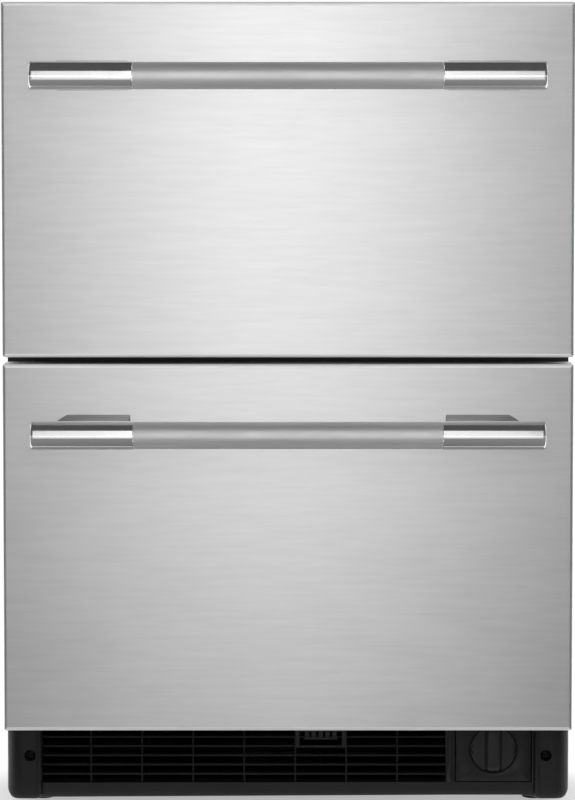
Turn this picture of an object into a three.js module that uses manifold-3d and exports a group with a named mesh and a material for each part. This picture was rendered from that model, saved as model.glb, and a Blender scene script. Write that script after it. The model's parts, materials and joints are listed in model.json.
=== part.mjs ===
// Undercounter refrigerator with two drawers, as an assembly of its separate pieces.
// Millimetres: X to the right, Y to the back, Z up. The floor is z = 0, x = 0 is the middle of the
// width, and y = 0 is midway between the front of the handles and the back of the case.
import * as THREE from "three";
import { mergeVertices } from "three/addons/utils/BufferGeometryUtils.js";
import Module from "manifold-3d";

const wasm = await Module();
wasm.setup();

// ---------------------------------------------------------------- Driving dimensions

// The outside of the whole object
const overallHeight = 867;
const frontOverhang = 2; // the drawer fronts beyond each side of the case
const handleReach = 60; // from the drawer fronts' face to the front of the handles
const frontThickness = 46; // a drawer front with its inner panel
const sealGap = 8; // what the closed gasket fills
const caseDepth = 551;
const toeHeight = 92.5; // from the floor to the lower drawer front
const frontGap = 7; // between the two drawer fronts
const upperFrontHeight = 375.5;

// Fits between separate pieces
const fit = 0.3; // two pieces that rest against each other
const running = 0.5; // slide members and other running faces
const overrun = 1; // how far a cutting block reaches past what it cuts

// The case and what fills it
const caseWidth = 602;
const caseTopDrop = 2.5; // the case lies this far below the top of the upper front
const caseBottom = 20;
const caseSheet = 1.2;
const caseFlange = 30; // the inward steel face that the gaskets close on
const backSheet = 1;
const backBeadWidth = 24;
const backBeadDepth = 0.8;
const sideWall = 38; // outside of the case to the inside of the liner
const topWall = 36.5;
const floorWall = 36;
const rearWall = 40;
const linerWall = 2;
const linerCorner = 14;
const linerLip = 7; // how far the floor sheet's turned-up edge stays below the liner's mouth
const railHeight = 56; // the centre rail between the two drawers
const railDepth = 45;
const railSheet = 1.5;

// The machine bay at the bottom of the back
const bayDepth = 175;
const bayHeight = 262; // top of the bay above the floor
const bayWall = 30; // bay to the inside of the liner
const floorSheet = 1.2;
const panSheet = 1.5;
const panLift = 2; // the pan's underside above the lower edge of the case
const panRim = 9;

// Levelling legs
const legInset = 32; // from the side of the case
const frontLegSetback = 60; // from the case's front face
const rearLegSetback = 50; // from the back
const footRadius = 19;
const footHeight = 7;
const footRound = 1.5;
const footSlope = 2.5; // height of the cone on top of the foot
const stemRadius = 5;
const stemTop = 62;
const stemChamfer = 1;
const legBossRadius = 9;
const legBossHeight = 24;

// Drawer fronts
const skinDepth = 34;
const skinSheet = 1.2;
const skinBend = 3;
const skinHem = 9;
const panelInset = 2;
const panelWall = 2.5;
const panelCorner = 6;
const padDepth = 12; // the inner panel's raised middle, which enters the case's mouth
const padClearance = 3;
const gasketInset = 6;
const gasketWidth = 14;
const gasketCorner = 8;

// Handles
const handleLength = 542;
const ferruleLength = 107;
const ferruleRadius = 15;
const ferruleDome = 2.5;
const ferruleEdge = 0.6;
const barRadius = 14.25;
const barWall = 2;
const spigotLength = 18;
const upperHandleDrop = 77.5; // handle axis below the top of its front
const lowerHandleDrop = 71.5;
const bracketFromEnd = 28; // a bracket's outer face at the bar, from the end of the handle
const bracketLength = 76; // along the bar
const bracketTaper = 7; // its outer face at the door lies this much further in
const bracketHeight = 31;

// Telescopic slides
const slideStart = 9; // behind the case's front face, and ahead of the drawer frame's back
const slideHeight = 44;
const slideSheet = 1.5;
const slideDepth = 12; // the fixed channel, out from the liner
const slideLipHeight = 5;
const runnerNeck = 12; // height of the neck that leaves the channel

// Drawer frames and bins
const frameSheet = 1.5;
const frameLedge = 8;
const frameApron = 84; // height of the plate behind the front
const frameTie = 30; // height of the rear cross bar
const upperRimDrop = 48; // a bin's rim below the ceiling, or below the centre rail
const lowerRimDrop = 30.5;
const frameRearGap = 18; // the drawer frames to the evaporator cover's face
const binWall = 2.5;
const binCorner = 22;
const binBase = 6; // a bin's underside above what is below it
const binRimWidth = 6;
const binClearance = 9; // lower bin to the liner's step

// Cold-air parts in the upper compartment
const airSpace = 45; // evaporator cover's face to the liner's rear wall
const coverHeight = 326;
const coverWall = 2.5;
const coverVentWidth = 60;
const coverVentHeight = 5;
const coverVentPitch = 12;
const coverVentRows = 3;
const coldFanRadius = 46;
const coldFanDrop = 66; // fan axis below the ceiling
const coldFanGuard = 6; // ring of material round the fan's opening
const coldFanLip = 2; // the opening is this much smaller than the wheel's space
const coldFanSpokes = 6;
const coldFanSpoke = 4; // width of a spoke
const coldMotorRadius = 16;
const coldFanTip = 3; // wheel to the wheel's space
const evaporatorWidth = 380;
const evaporatorDrop = 150; // top pass below the ceiling
const evaporatorPasses = 4;
const evaporatorPitch = 36;
const evaporatorFins = 5;
const finSheet = 1.2;
const finInset = 20; // outer fins from the ends of the passes
const evaporatorFinDepth = 30;
const coilRadius = 4;

// Controls and light under the ceiling
const controlWidth = 190;
const controlDepth = 48;
const controlHeight = 24;
const controlSetback = 14; // behind the case's front face
const controlRound = 4;
const controlSlope = 10;
const buttonWidth = 18;
const buttonHeight = 9;
const buttonProud = 1.6;
const buttonLength = 6;
const buttonTravel = 1.2;
const buttonOffset = 24; // button centre from the middle
const buttonGap = 0.4;
const buttonRound = 1.5;
const lightWidth = 84;
const lightDepth = 46;
const lightHeight = 10;
const lightSetback = 110;
const lightSlope = 6;

// Base grille
const baseOverhang = 1; // beyond each side of the case
const baseBottom = 15.5;
const baseTopDrop = 1; // below the lower drawer front
const postSetback = 29; // from the drawer fronts' face
const baseSetback = 38;
const postWidth = 38;
const postOuterRound = 16;
const postInnerRound = 9;
const mouldWall = 2.5;
const baseEdgeRound = 5;
const screwInset = 25; // from the end of the base
const screwHeight = 60.5;
const screwPocket = 6; // radius of the screw's pocket
const screwHead = 4.3;
const screwHeadHeight = 3;
const screwShank = 2;
const screwLength = 18;
const screwPoint = 2;
const ventSillLift = 14.5; // lower edge of the vent above the base's lower edge
const ventHeadDrop = 4; // upper edge of the vent below the base's upper edge
const ventStrip = 11; // between the vent and the access panel
const louvreDrop = 8.4; // top louvre below the vent's upper edge
const louvreLift = 0.9; // lowest louvre above the vent's lower edge, in pitches
const louvreThickness = 2.2;
const louvreDepth = 12;
const louvreCount = 5;
const ventCells = 8;
const ribLap = 3; // the outer cells run this far behind the face
const mullionThickness = 2;
const barSetback = 1; // louvres behind the face of the base
const clipCell = 5; // cells to the left of the clip
const clipLouvre = 1; // it hooks over this louvre, counted from the top one
const clipDepth = 3;
const clipWall = 5;
const clipBacking = 1;
const clipSideGap = 4; // between a side wall and the toothed piece
const clipSill = 2.5;
const clipTeeth = 5;
const clipToothHeight = 4;
const clipShelf = 8.4; // the toothed piece above the clip's lower edge

// Access panel, cap and cartridge at the right of the base
const accessWidth = 81;
const accessInset = 2.5; // from the corner post
const accessTopDrop = 3.5; // below the base's upper edge
const accessLift = 15.5; // above the base's lower edge
const accessGap = 0.8;
const accessSetback = 0.5;
const capGap = 0.8; // between the cap and its cup
const capDisc = 8;
const capDiscSetback = 1;
const capEdge = 1.2;
const gripWidth = 14;
const gripProud = 7;
const gripRoot = 4; // how far the grip runs into the disc
const gripRound = 3;
const cupDepth = 11;
const capStem = 9;
const capStemReach = 5; // past the cup
const sleeveWall = 1.2;
const sleeveLift = 8.2; // above the pan's rim
const sleeveLength = 120;
const cartridgeGap = 4; // between the cartridge and its sleeve
const cartridgeLength = 92;
const cartridgeRound = 4;

// Compressor, condenser and fan
const compressorInset = 169.5; // its axis from the side of the pan
const compressorRadius = 66;
const compressorHeight = 165; // top above the pan
const compressorSeam = 3;
const compressorPlate = 3;
const grommetRadius = 10;
const grommetHeight = 10;
const grommetInset = 13; // grommet centre from the plate's edges
const grommetHead = 6; // above the plate
const plateWidth = 176;
const plateDepth = 118;
const plateCorner = 12;
const pipeRoot = 6; // how far a pipe stub runs into the shell
const pipeReach = 22;
const condenserInset = 31.5; // from the side of the pan
const condenserCapGap = 69; // to the cap's axis
const condenserSetback = 40; // first pass behind the case's front face
const condenserPasses = 7;
const condenserPitch = 38;
const condenserHeight = 58;
const condenserStrips = 2;
const stripSheet = 2;
const stripMargin = 12; // strips past the tube's outer passes
const warmFanX = 128;
const warmFanHeight = 104;
const warmFanRadius = 58;
const shroudWidth = 200;
const shroudTop = 196;
const shroudSheet = 2;
const shroudSetback = 22; // behind the bay's front wall
const trayWidth = 176;
const trayDepth = 130;
const trayHeight = 22;
const trayWall = 1.8;
const trayCorner = 12;
const hubRadius = 15;
const hubLength = 14;
const spindleRadius = 3;
const motorRadius = 20;
const motorLength = 18;
const fanClearance = 4;
const strutWidth = 9;
const strutTie = 4; // how far a strut runs into the plate
const bladeTie = 3; // how far a blade runs into the hub
const bladeSheet = 1.8;
const bladePitch = 30; // degrees

// The rear cover of the machine bay, and the mains gland in it
const slotWidth = 72;
const slotHeight = 5;
const slotPitchX = 92;
const slotPitchZ = 24;
const slotRows = 5;
const slotColumns = 5;
const slotMargin = 60;
const glandInset = 39; // from the side of the case
const glandHeight = 60;
const glandRadius = 12;
const glandBore = 4.5;
const glandCollar = 15;
const glandLength = 24;
const glandCollarSheet = 3;
const glandEdge = 0.5;
const glandTaper = 2;

// ---------------------------------------------------------------- Planes worked out from them

const overallDepth = handleReach + frontThickness + sealGap + caseDepth;
const rearY = overallDepth / 2;
const caseFrontY = rearY - caseDepth;
const frontBackY = caseFrontY - sealGap;
const frontFaceY = frontBackY - frontThickness;
const shellRearY = rearY - backSheet - fit;
const caseHalf = caseWidth / 2;
const frontHalf = caseHalf + frontOverhang;
const caseTop = overallHeight - caseTopDrop;
const lowerFrontTop = overallHeight - upperFrontHeight - frontGap;
const gapMiddle = lowerFrontTop + frontGap / 2;
const railLow = gapMiddle - railHeight / 2;
const railHigh = gapMiddle + railHeight / 2;
const mouthHalf = caseHalf - sideWall;
const ceiling = caseTop - topWall;
const compartmentFloor = toeHeight + floorWall;
const linerRearY = rearY - rearWall;
const bayFrontY = rearY - bayDepth;
const stepFrontY = bayFrontY - bayWall;
const stepTop = bayHeight + bayWall;
const lipTop = compartmentFloor - linerLip;
const panBottom = caseBottom + panLift;
const panTop = panBottom + panSheet;
const panRimTop = panBottom + panRim;
const panHalf = caseHalf - caseSheet - fit;
const legX = caseHalf - legInset;
const frontLegY = caseFrontY + frontLegSetback;
const rearLegY = rearY - rearLegSetback;
const padBackY = frontBackY + padDepth;
const coverFaceY = linerRearY - airSpace;
const baseHalf = caseHalf + baseOverhang;
const baseTop = toeHeight - baseTopDrop;
const postFaceY = frontFaceY + postSetback;
const baseFaceY = frontFaceY + baseSetback;
const baseBackY = caseFrontY - fit;
const postInnerX = baseHalf - postWidth;
const accessRight = postInnerX - accessInset;
const accessLeft = accessRight - accessWidth;
const accessTop = baseTop - accessTopDrop;
const accessBottom = baseBottom + accessLift;
const ventLeft = -postInnerX;
const ventRight = accessLeft - ventStrip;
const ventSill = baseBottom + ventSillLift;
const ventHead = baseTop - ventHeadDrop;
const louvreTop = ventHead - louvreDrop;
const louvrePitch = (louvreTop - ventSill) / (louvreCount - 1 + louvreLift);
const ribPitch = (ventRight - ventLeft + 2 * ribLap) / ventCells;
const sleeveRadius = (baseTop - fit - panRimTop - sleeveLift) / 2;
const cupRadius = sleeveRadius - sleeveWall;
const capRadius = cupRadius - capGap;
const capHeight = panRimTop + sleeveLift + sleeveRadius;
const capCentre = (accessLeft + accessRight) / 2;
const compressorX = -panHalf + compressorInset;
const compressorY = rearY - bayDepth / 2;
const screwX = baseHalf - screwInset;
const capStemEnd = baseFaceY + cupDepth + sleeveWall + capStemReach;

// ---------------------------------------------------------------- Shapes

// A closed solid from a three.js geometry, with its faces turned outwards.
function solid(geometry) {
  const bare = new THREE.BufferGeometry();
  bare.setAttribute("position", geometry.getAttribute("position"));
  if (geometry.index) bare.setIndex(geometry.index);
  const merged = mergeVertices(bare, 1e-4);
  const corners = merged.index.array;
  const make = (flip) => {
    const triangles = [];
    for (let i = 0; i < corners.length; i += 3) {
      const [a, b, c] = [corners[i], corners[i + 1], corners[i + 2]];
      if (a === b || b === c || c === a) continue;
      triangles.push(a, flip ? c : b, flip ? b : c);
    }
    return new wasm.Manifold(
      new wasm.Mesh({
        numProp: 3,
        vertProperties: merged.attributes.position.array,
        triVerts: new Uint32Array(triangles),
      }),
    );
  };
  const made = make(false);
  return made.volume() < 0 ? make(true) : made;
}

// The three.js geometry of a solid, with flat faces.
function geometryOf(shape) {
  const mesh = shape.getMesh();
  const geometry = new THREE.BufferGeometry();
  const position = new Float32Array(mesh.numVert * 3);
  for (let i = 0; i < mesh.numVert; i++) {
    for (let k = 0; k < 3; k++) {
      position[3 * i + k] = mesh.vertProperties[i * mesh.numProp + k];
    }
  }
  geometry.setAttribute("position", new THREE.BufferAttribute(position, 3));
  geometry.setIndex(new THREE.BufferAttribute(new Uint32Array(mesh.triVerts), 1));
  const flat = geometry.toNonIndexed();
  flat.computeVertexNormals();
  return flat;
}

// A box between two values along each axis.
function block(x, y, z) {
  const box = new THREE.BoxGeometry(x[1] - x[0], y[1] - y[0], z[1] - z[0]);
  box.translate((x[0] + x[1]) / 2, (y[0] + y[1]) / 2, (z[0] + z[1]) / 2);
  return solid(box);
}

// A box that is as wide to the left as to the right.
function wideBlock(half, y, z) {
  return block([-half, half], y, z);
}

// A flat outline carried along one axis. The outline's own two axes are X and Y for "z",
// X and Z for "y", and Y and Z for "x".
function prism(outline, axis, from, to, curveSegments = 2) {
  const geometry = new THREE.ExtrudeGeometry(outline, {
    depth: to - from,
    bevelEnabled: false,
    curveSegments,
  });
  const turn = new THREE.Matrix4();
  if (axis === "z") turn.makeTranslation(0, 0, from);
  if (axis === "y") turn.set(1, 0, 0, 0, 0, 0, -1, to, 0, 1, 0, 0, 0, 0, 0, 1);
  if (axis === "x") turn.set(0, 0, 1, from, 1, 0, 0, 0, 0, 1, 0, 0, 0, 0, 0, 1);
  geometry.applyMatrix4(turn);
  return solid(geometry);
}

// A closed outline through straight points.
function outlineOf(points) {
  return new THREE.Shape(points.map(([a, b]) => new THREE.Vector2(a, b)));
}

// A rectangle with round corners.
function roundRect(a0, a1, b0, b1, radius) {
  const shape = new THREE.Shape();
  const quarter = Math.PI / 2;
  shape.absarc(a1 - radius, b0 + radius, radius, -quarter, 0);
  shape.absarc(a1 - radius, b1 - radius, radius, 0, quarter);
  shape.absarc(a0 + radius, b1 - radius, radius, quarter, 2 * quarter);
  shape.absarc(a0 + radius, b0 + radius, radius, 2 * quarter, 3 * quarter);
  return shape;
}

// A folded sheet's outline: a path of corners and the same path one sheet thickness to its left.
function sheetOutline(path, thickness) {
  const left = path.map((corner, i) => {
    const before = path[i - 1] ?? corner;
    const after = path[i + 1] ?? corner;
    const normals = [];
    for (const [from, to] of [[before, corner], [corner, after]]) {
      const length = Math.hypot(to[0] - from[0], to[1] - from[1]);
      if (length > 0) normals.push([-(to[1] - from[1]) / length, (to[0] - from[0]) / length]);
    }
    const [first, second] = [normals[0], normals[normals.length - 1]];
    const sum = [first[0] + second[0], first[1] + second[1]];
    const scale = (2 * thickness) / (sum[0] ** 2 + sum[1] ** 2);
    return [corner[0] + sum[0] * scale, corner[1] + sum[1] * scale];
  });
  return outlineOf([...path, ...left.reverse()]);
}

// A profile of [radius, distance along the axis] turned about X, Y or Z through a point.
function revolve(profile, axis, centre, sides = 24) {
  const points = profile.map(([r, along]) => new THREE.Vector2(r, along));
  const geometry = new THREE.LatheGeometry(points, sides);
  if (axis === "x") geometry.rotateZ(-Math.PI / 2);
  if (axis === "z") geometry.rotateX(Math.PI / 2);
  geometry.translate(...centre);
  return solid(geometry);
}

// A round bar between two values along an axis.
function round(radius, axis, from, to, centre, sides = 16) {
  return revolve([[0, from], [radius, from], [radius, to], [0, to]], axis, centre, sides);
}

// A curve that stops at exactly the points it is given, for bent tube.
class Route extends THREE.Curve {
  constructor(points) {
    super();
    this.points = points;
  }
  getPoint(t) {
    const at = t * (this.points.length - 1);
    const i = Math.min(Math.floor(at), this.points.length - 2);
    return this.points[i].clone().lerp(this.points[i + 1], at - i);
  }
  getPointAt(t) {
    return this.getPoint(t);
  }
  getTangentAt(t) {
    const step = 0.5 / (this.points.length - 1);
    const [from, to] = [Math.max(t - step, 0), Math.min(t + step, 1)];
    return this.getPoint(to).sub(this.getPoint(from)).normalize();
  }
  getSpacedPoints(steps) {
    return Array.from({ length: steps + 1 }, (_, i) => this.getPoint(i / steps));
  }
}

// Bent tube in level passes, each joined to the next by a half-round bend.
// place(s, k) turns the distance s along a pass and the pass's own offset k into a point.
function serpentine(length, passes, pitch, place, bendSteps = 4) {
  const points = [];
  for (let pass = 0; pass < passes; pass++) {
    const forward = pass % 2 === 0;
    const ends = forward ? [0, length] : [length, 0];
    points.push(place(ends[0], pass * pitch), place(ends[1], pass * pitch));
    if (pass === passes - 1) break;
    for (let i = 1; i < bendSteps; i++) {
      const angle = (Math.PI * i) / bendSteps;
      const out = (pitch / 2) * Math.sin(angle) * (forward ? 1 : -1);
      points.push(place(ends[1] + out, pass * pitch + (pitch / 2) * (1 - Math.cos(angle))));
    }
  }
  const route = new Route(points);
  const section = new THREE.Shape().absarc(0, 0, coilRadius, 0, 2 * Math.PI);
  return solid(
    new THREE.ExtrudeGeometry(section, {
      extrudePath: route,
      steps: points.length - 1,
      curveSegments: 3,
    }),
  );
}

// A fan wheel about Y: a bored hub and pitched blades that widen outwards.
function fanWheel(radius, blades, centre) {
  const [x, y, z] = centre;
  const half = hubLength / 2;
  let wheel = round(hubRadius, "y", -half, half, [0, 0, 0], 12);
  const root = hubRadius - bladeTie;
  const outline = new THREE.Shape();
  outline.moveTo(root, -hubLength * 0.32);
  outline.lineTo(radius * 0.7, -radius * 0.3);
  outline.quadraticCurveTo(radius * 1.02, -radius * 0.3, radius, 0);
  outline.quadraticCurveTo(radius * 0.96, radius * 0.36, radius * 0.6, radius * 0.3);
  outline.lineTo(root, hubLength * 0.32);
  for (let i = 0; i < blades; i++) {
    const blade = new THREE.ExtrudeGeometry(outline, {
      depth: bladeSheet,
      bevelEnabled: false,
      curveSegments: 3,
    });
    blade.translate(0, 0, -bladeSheet / 2);
    blade.rotateX(Math.PI / 2 + THREE.MathUtils.degToRad(bladePitch));
    blade.rotateY((2 * Math.PI * i) / blades);
    wheel = wheel.add(solid(blade));
  }
  const slab = round(radius, "y", -half, half, [0, 0, 0], 24);
  const bore = round(spindleRadius + fit, "y", -half - overrun, half + overrun, [0, 0, 0], 8);
  const trimmed = wheel.intersect(slab).subtract(bore);
  const geometry = geometryOf(trimmed);
  geometry.translate(x, y, z);
  return solid(geometry);
}

// ---------------------------------------------------------------- Materials

const finish = (color, roughness, metalness) => ({ color, roughness, metalness });
const stainless = finish(0xc6c6c4, 0.34, 1);
const polished = finish(0xe2e2e2, 0.08, 1);
const satin = finish(0xb9b9b8, 0.28, 1);
const blackPaint = finish(0x1b1b1c, 0.55, 0.2);
const zincSteel = finish(0xa9adb0, 0.42, 0.9);
const blackPlastic = finish(0x1d1d1e, 0.6, 0);
const paleLiner = finish(0xe4e6e6, 0.45, 0);
const greyLiner = finish(0xbfc4c8, 0.4, 0);
const clearBin = finish(0xd3dce0, 0.2, 0);
const greyRubber = finish(0x6f7274, 0.8, 0);
const foam = finish(0xe5d9a6, 0.95, 0);
const castIron = finish(0x161617, 0.5, 0.4);
const finAluminium = finish(0xc9cdd0, 0.35, 0.9);
const lens = finish(0xf4f6f6, 0.3, 0);
const whitePlastic = finish(0xeeeeec, 0.4, 0);

const refrigerator = new THREE.Group();

function piece(name, shape, look, parent = refrigerator) {
  const mesh = new THREE.Mesh(geometryOf(shape), new THREE.MeshStandardMaterial(look));
  mesh.name = name;
  parent.add(mesh);
  return mesh;
}

// The same piece mirrored to the other side.
function mirrored(name, shape, look) {
  const mesh = piece(name, shape, look);
  mesh.scale.x = -1;
}

// A right-hand piece and its mirrored left-hand one.
function pair(names, shape, look) {
  piece(names[1], shape, look);
  mirrored(names[0], shape, look);
}

// ---------------------------------------------------------------- Case

// Sides and top folded from one sheet, with the flange that the gaskets close on.
function caseShell() {
  const outer = wideBlock(caseHalf, [caseFrontY, shellRearY], [caseBottom, caseTop]);
  const hollow = wideBlock(
    caseHalf - caseSheet,
    [caseFrontY + caseSheet, shellRearY + overrun],
    [caseBottom - overrun, caseTop - caseSheet],
  );
  const mouth = wideBlock(
    caseHalf - caseFlange,
    [caseFrontY - overrun, caseFrontY + caseSheet + overrun],
    [caseBottom - overrun, caseTop - caseFlange],
  );
  let shell = outer.subtract(hollow).subtract(mouth);
  for (const side of [-1, 1]) {
    const hole = round(
      screwShank + fit,
      "y",
      caseFrontY - overrun,
      caseFrontY + caseSheet + overrun,
      [side * screwX, 0, screwHeight],
      12,
    );
    shell = shell.subtract(hole);
  }
  return shell;
}

// The space inside the liner, grown by g on every side: one cavity with a step over the machine bay.
function cavity(g) {
  const room = prism(
    roundRect(-mouthHalf - g, mouthHalf + g, compartmentFloor - g, ceiling + g, linerCorner + g),
    "y",
    caseFrontY - overrun,
    linerRearY + g,
  );
  const step = wideBlock(
    caseHalf,
    [stepFrontY + g, rearY],
    [compartmentFloor - g - overrun, stepTop - g],
  );
  return room.subtract(step);
}

// The moulded liner, with a flange that lies in the plane of the case's own.
function cabinetLiner() {
  const plane = caseFrontY;
  const ahead = wideBlock(caseHalf, [plane - 2 * overrun, plane], [0, overallHeight]);
  const flange = prism(
    roundRect(
      -(caseHalf - caseFlange - fit),
      caseHalf - caseFlange - fit,
      lipTop + fit,
      caseTop - caseFlange - fit,
      linerWall,
    ),
    "y",
    plane,
    plane + linerWall,
  );
  return cavity(linerWall).subtract(ahead).add(flange).subtract(cavity(0));
}

// Rigid foam between the case and the liner.
function insulation() {
  const front = caseFrontY + Math.max(caseSheet, linerWall) + fit;
  const body = wideBlock(
    caseHalf - caseSheet - fit,
    [front, shellRearY],
    [toeHeight + floorSheet + fit, caseTop - caseSheet - fit],
  );
  const bay = wideBlock(
    caseHalf,
    [bayFrontY - floorSheet - fit, rearY],
    [0, bayHeight + floorSheet + fit],
  );
  return body.subtract(bay).subtract(cavity(linerWall + fit));
}

// One folded sheet under the foam: a turned-up front lip, the floor, and the hood over the bay.
function caseFloor() {
  const path = [
    [caseFrontY, lipTop],
    [caseFrontY, toeHeight],
    [bayFrontY, toeHeight],
    [bayFrontY, bayHeight],
    [shellRearY, bayHeight],
  ];
  const half = caseHalf - caseSheet - fit;
  let sheet = prism(sheetOutline(path, floorSheet), "x", -half, half);
  for (const side of [-1, 1]) {
    const edge = side * (caseHalf - caseFlange - fit);
    const notch = block(
      side > 0 ? [edge, caseHalf] : [-caseHalf, edge],
      [caseFrontY - overrun, caseFrontY + caseSheet + fit],
      [toeHeight - overrun, lipTop + overrun],
    );
    sheet = sheet.subtract(notch);
  }
  return sheet;
}

// The steel rail across the mouth, which both gaskets close on, open at its back.
function centreRail() {
  const outer = wideBlock(mouthHalf - fit, [caseFrontY, caseFrontY + railDepth], [railLow, railHigh]);
  const hollow = wideBlock(
    mouthHalf - fit - railSheet,
    [caseFrontY + railSheet, caseFrontY + railDepth + overrun],
    [railLow + railSheet, railHigh - railSheet],
  );
  return outer.subtract(hollow);
}

// The back panel above the machine bay, with two pressed beads.
function caseBack() {
  const low = bayHeight + fit;
  let panel = wideBlock(caseHalf, [rearY - backSheet, rearY], [low, caseTop]);
  for (const side of [-1, 1]) {
    const middle = (side * caseHalf) / 2;
    const bead = prism(
      roundRect(
        middle - backBeadWidth / 2,
        middle + backBeadWidth / 2,
        low + sideWall,
        caseTop - topWall,
        backBeadWidth / 2 - fit,
      ),
      "y",
      rearY - backBeadDepth / 2,
      rearY + overrun,
    );
    panel = panel.subtract(bead);
  }
  return panel;
}

// The tray that carries the machine parts, with a boss for each leg.
function basePan() {
  const [front, back] = [caseFrontY + caseSheet + fit, shellRearY - fit];
  let pan = wideBlock(panHalf, [front, back], [panBottom, panRimTop]).subtract(
    wideBlock(
      panHalf - panSheet,
      [front + panSheet, back - panSheet],
      [panTop, panRimTop + overrun],
    ),
  );
  for (const [x, y] of legPlaces()) {
    pan = pan.add(round(legBossRadius, "z", panBottom, panBottom + legBossHeight, [x, y, 0], 12));
    pan = pan.subtract(round(stemRadius + fit, "z", 0, stemTop, [x, y, 0], 12));
  }
  return pan;
}

function legPlaces() {
  return [
    [-legX, frontLegY],
    [legX, frontLegY],
    [-legX, rearLegY],
    [legX, rearLegY],
  ];
}

// A levelling leg: a round foot on a threaded stem.
function levellingLeg([x, y]) {
  const profile = [
    [0, 0],
    [footRadius - footRound, 0],
    [footRadius, footRound],
    [footRadius, footHeight - footSlope],
    [footRadius * 0.6, footHeight],
    [stemRadius, footHeight],
    [stemRadius, stemTop - stemChamfer],
    [stemRadius - stemChamfer, stemTop],
    [0, stemTop],
  ];
  return revolve(profile, "z", [x, y, 0], 14);
}

piece("case_shell", caseShell(), blackPaint);
piece("case_back", caseBack(), zincSteel);
piece("case_floor", caseFloor(), zincSteel);
piece("insulation", insulation(), foam);
piece("cabinet_liner", cabinetLiner(), paleLiner);
piece("centre_rail", centreRail(), blackPaint);
piece("base_pan", basePan(), zincSteel);
["front_left_leg", "front_right_leg", "rear_left_leg", "rear_right_leg"].forEach((name, i) => {
  piece(name, levellingLeg(legPlaces()[i]), blackPlastic);
});

// ---------------------------------------------------------------- Base grille

// Half-round-cornered hollow post at the right-hand end, seen from above.
function postPlan(wall) {
  const [outer, inner] = [baseHalf - wall, postInnerX + wall];
  const front = postFaceY + wall;
  const shape = new THREE.Shape();
  const [big, small] = [postOuterRound - wall, postInnerRound - wall];
  shape.moveTo(inner, baseBackY + (wall > 0 ? overrun : 0));
  shape.lineTo(inner, front + small);
  shape.absarc(inner + small, front + small, small, Math.PI, 1.5 * Math.PI);
  shape.absarc(outer - big, front + big, big, 1.5 * Math.PI, 2 * Math.PI);
  shape.lineTo(outer, baseBackY + (wall > 0 ? overrun : 0));
  return shape;
}

function cornerPost() {
  const outer = prism(postPlan(0), "z", baseBottom, baseTop, 3);
  const hollow = prism(postPlan(mouldWall), "z", baseBottom + mouldWall, baseTop - mouldWall, 3);
  const centre = [screwX, 0, screwHeight];
  const boss = round(screwPocket + mouldWall, "y", postFaceY + mouldWall / 2, baseBackY, centre);
  const pocket = round(screwPocket, "y", postFaceY - overrun, baseBackY - mouldWall, centre);
  const hole = round(screwShank + fit, "y", postFaceY, baseBackY + overrun, centre, 12);
  return outer.subtract(hollow).add(boss).subtract(pocket).subtract(hole);
}

// The face between the posts, folded back along its lower and upper edges.
function baseFace() {
  const section = (wall) => {
    const shape = new THREE.Shape();
    const [front, low, high] = [baseFaceY + wall, baseBottom + wall, baseTop - wall];
    const radius = Math.max(baseEdgeRound - wall, 1);
    const back = baseBackY + (wall > 0 ? overrun : 0);
    shape.moveTo(back, high);
    shape.lineTo(front, high);
    shape.lineTo(front, low + radius);
    shape.absarc(front + radius, low + radius, radius, Math.PI, 1.5 * Math.PI);
    shape.lineTo(back, low);
    return shape;
  };
  const half = postInnerX + mouldWall / 2;
  const outer = prism(section(0), "x", -half, half);
  const hollow = prism(section(mouldWall), "x", -half - overrun, half + overrun);
  const vent = block(
    [ventLeft, ventRight],
    [baseFaceY - overrun, baseFaceY + mouldWall + overrun],
    [ventSill, ventHead],
  );
  const access = block(
    [accessLeft - accessGap, accessRight + accessGap],
    [baseFaceY - overrun, baseFaceY + mouldWall + overrun],
    [accessBottom - accessGap, accessTop + accessGap],
  );
  const notch = block(
    [capCentre - sleeveRadius - accessGap, capCentre + sleeveRadius + accessGap],
    [baseFaceY - overrun, baseBackY + overrun],
    [capHeight, overallHeight],
  );
  return outer.subtract(hollow).subtract(vent).subtract(access).subtract(notch);
}

function ribPlace(i) {
  return ventLeft - ribLap + i * ribPitch;
}

// Level louvres and upright ribs across the vent, tied into the face round it.
function louvres() {
  const tie = mouldWall / 2;
  const front = baseFaceY + barSetback;
  let lattice = null;
  const add = (bar) => {
    lattice = lattice ? lattice.add(bar) : bar;
  };
  for (let i = 0; i < louvreCount; i++) {
    const z = louvreTop - i * louvrePitch;
    add(
      block(
        [ventLeft - tie, ventRight + tie],
        [front, front + louvreDepth],
        [z - louvreThickness / 2, z + louvreThickness / 2],
      ),
    );
  }
  for (let i = 1; i < ventCells; i++) {
    const x = ribPlace(i);
    add(
      block(
        [x - mullionThickness / 2, x + mullionThickness / 2],
        [front + barSetback, front + louvreDepth],
        [ventSill - tie, ventHead + tie],
      ),
    );
  }
  return lattice;
}

function baseGrille() {
  const post = cornerPost();
  const otherGeometry = geometryOf(post);
  otherGeometry.scale(-1, 1, 1);
  return baseFace().add(louvres()).add(post).add(solid(otherGeometry));
}

// A pan-head screw that holds the base to the case's flange.
function grilleScrew() {
  const seat = baseBackY - mouldWall - fit;
  const profile = [
    [0, seat - screwHeadHeight],
    [screwHead * 0.7, seat - screwHeadHeight],
    [screwHead, seat - screwHeadHeight * 0.4],
    [screwHead, seat],
    [screwShank, seat],
    [screwShank, seat + screwLength - screwPoint],
    [0, seat + screwLength],
  ];
  return revolve(profile, "y", [screwX, 0, screwHeight], 12);
}

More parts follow.
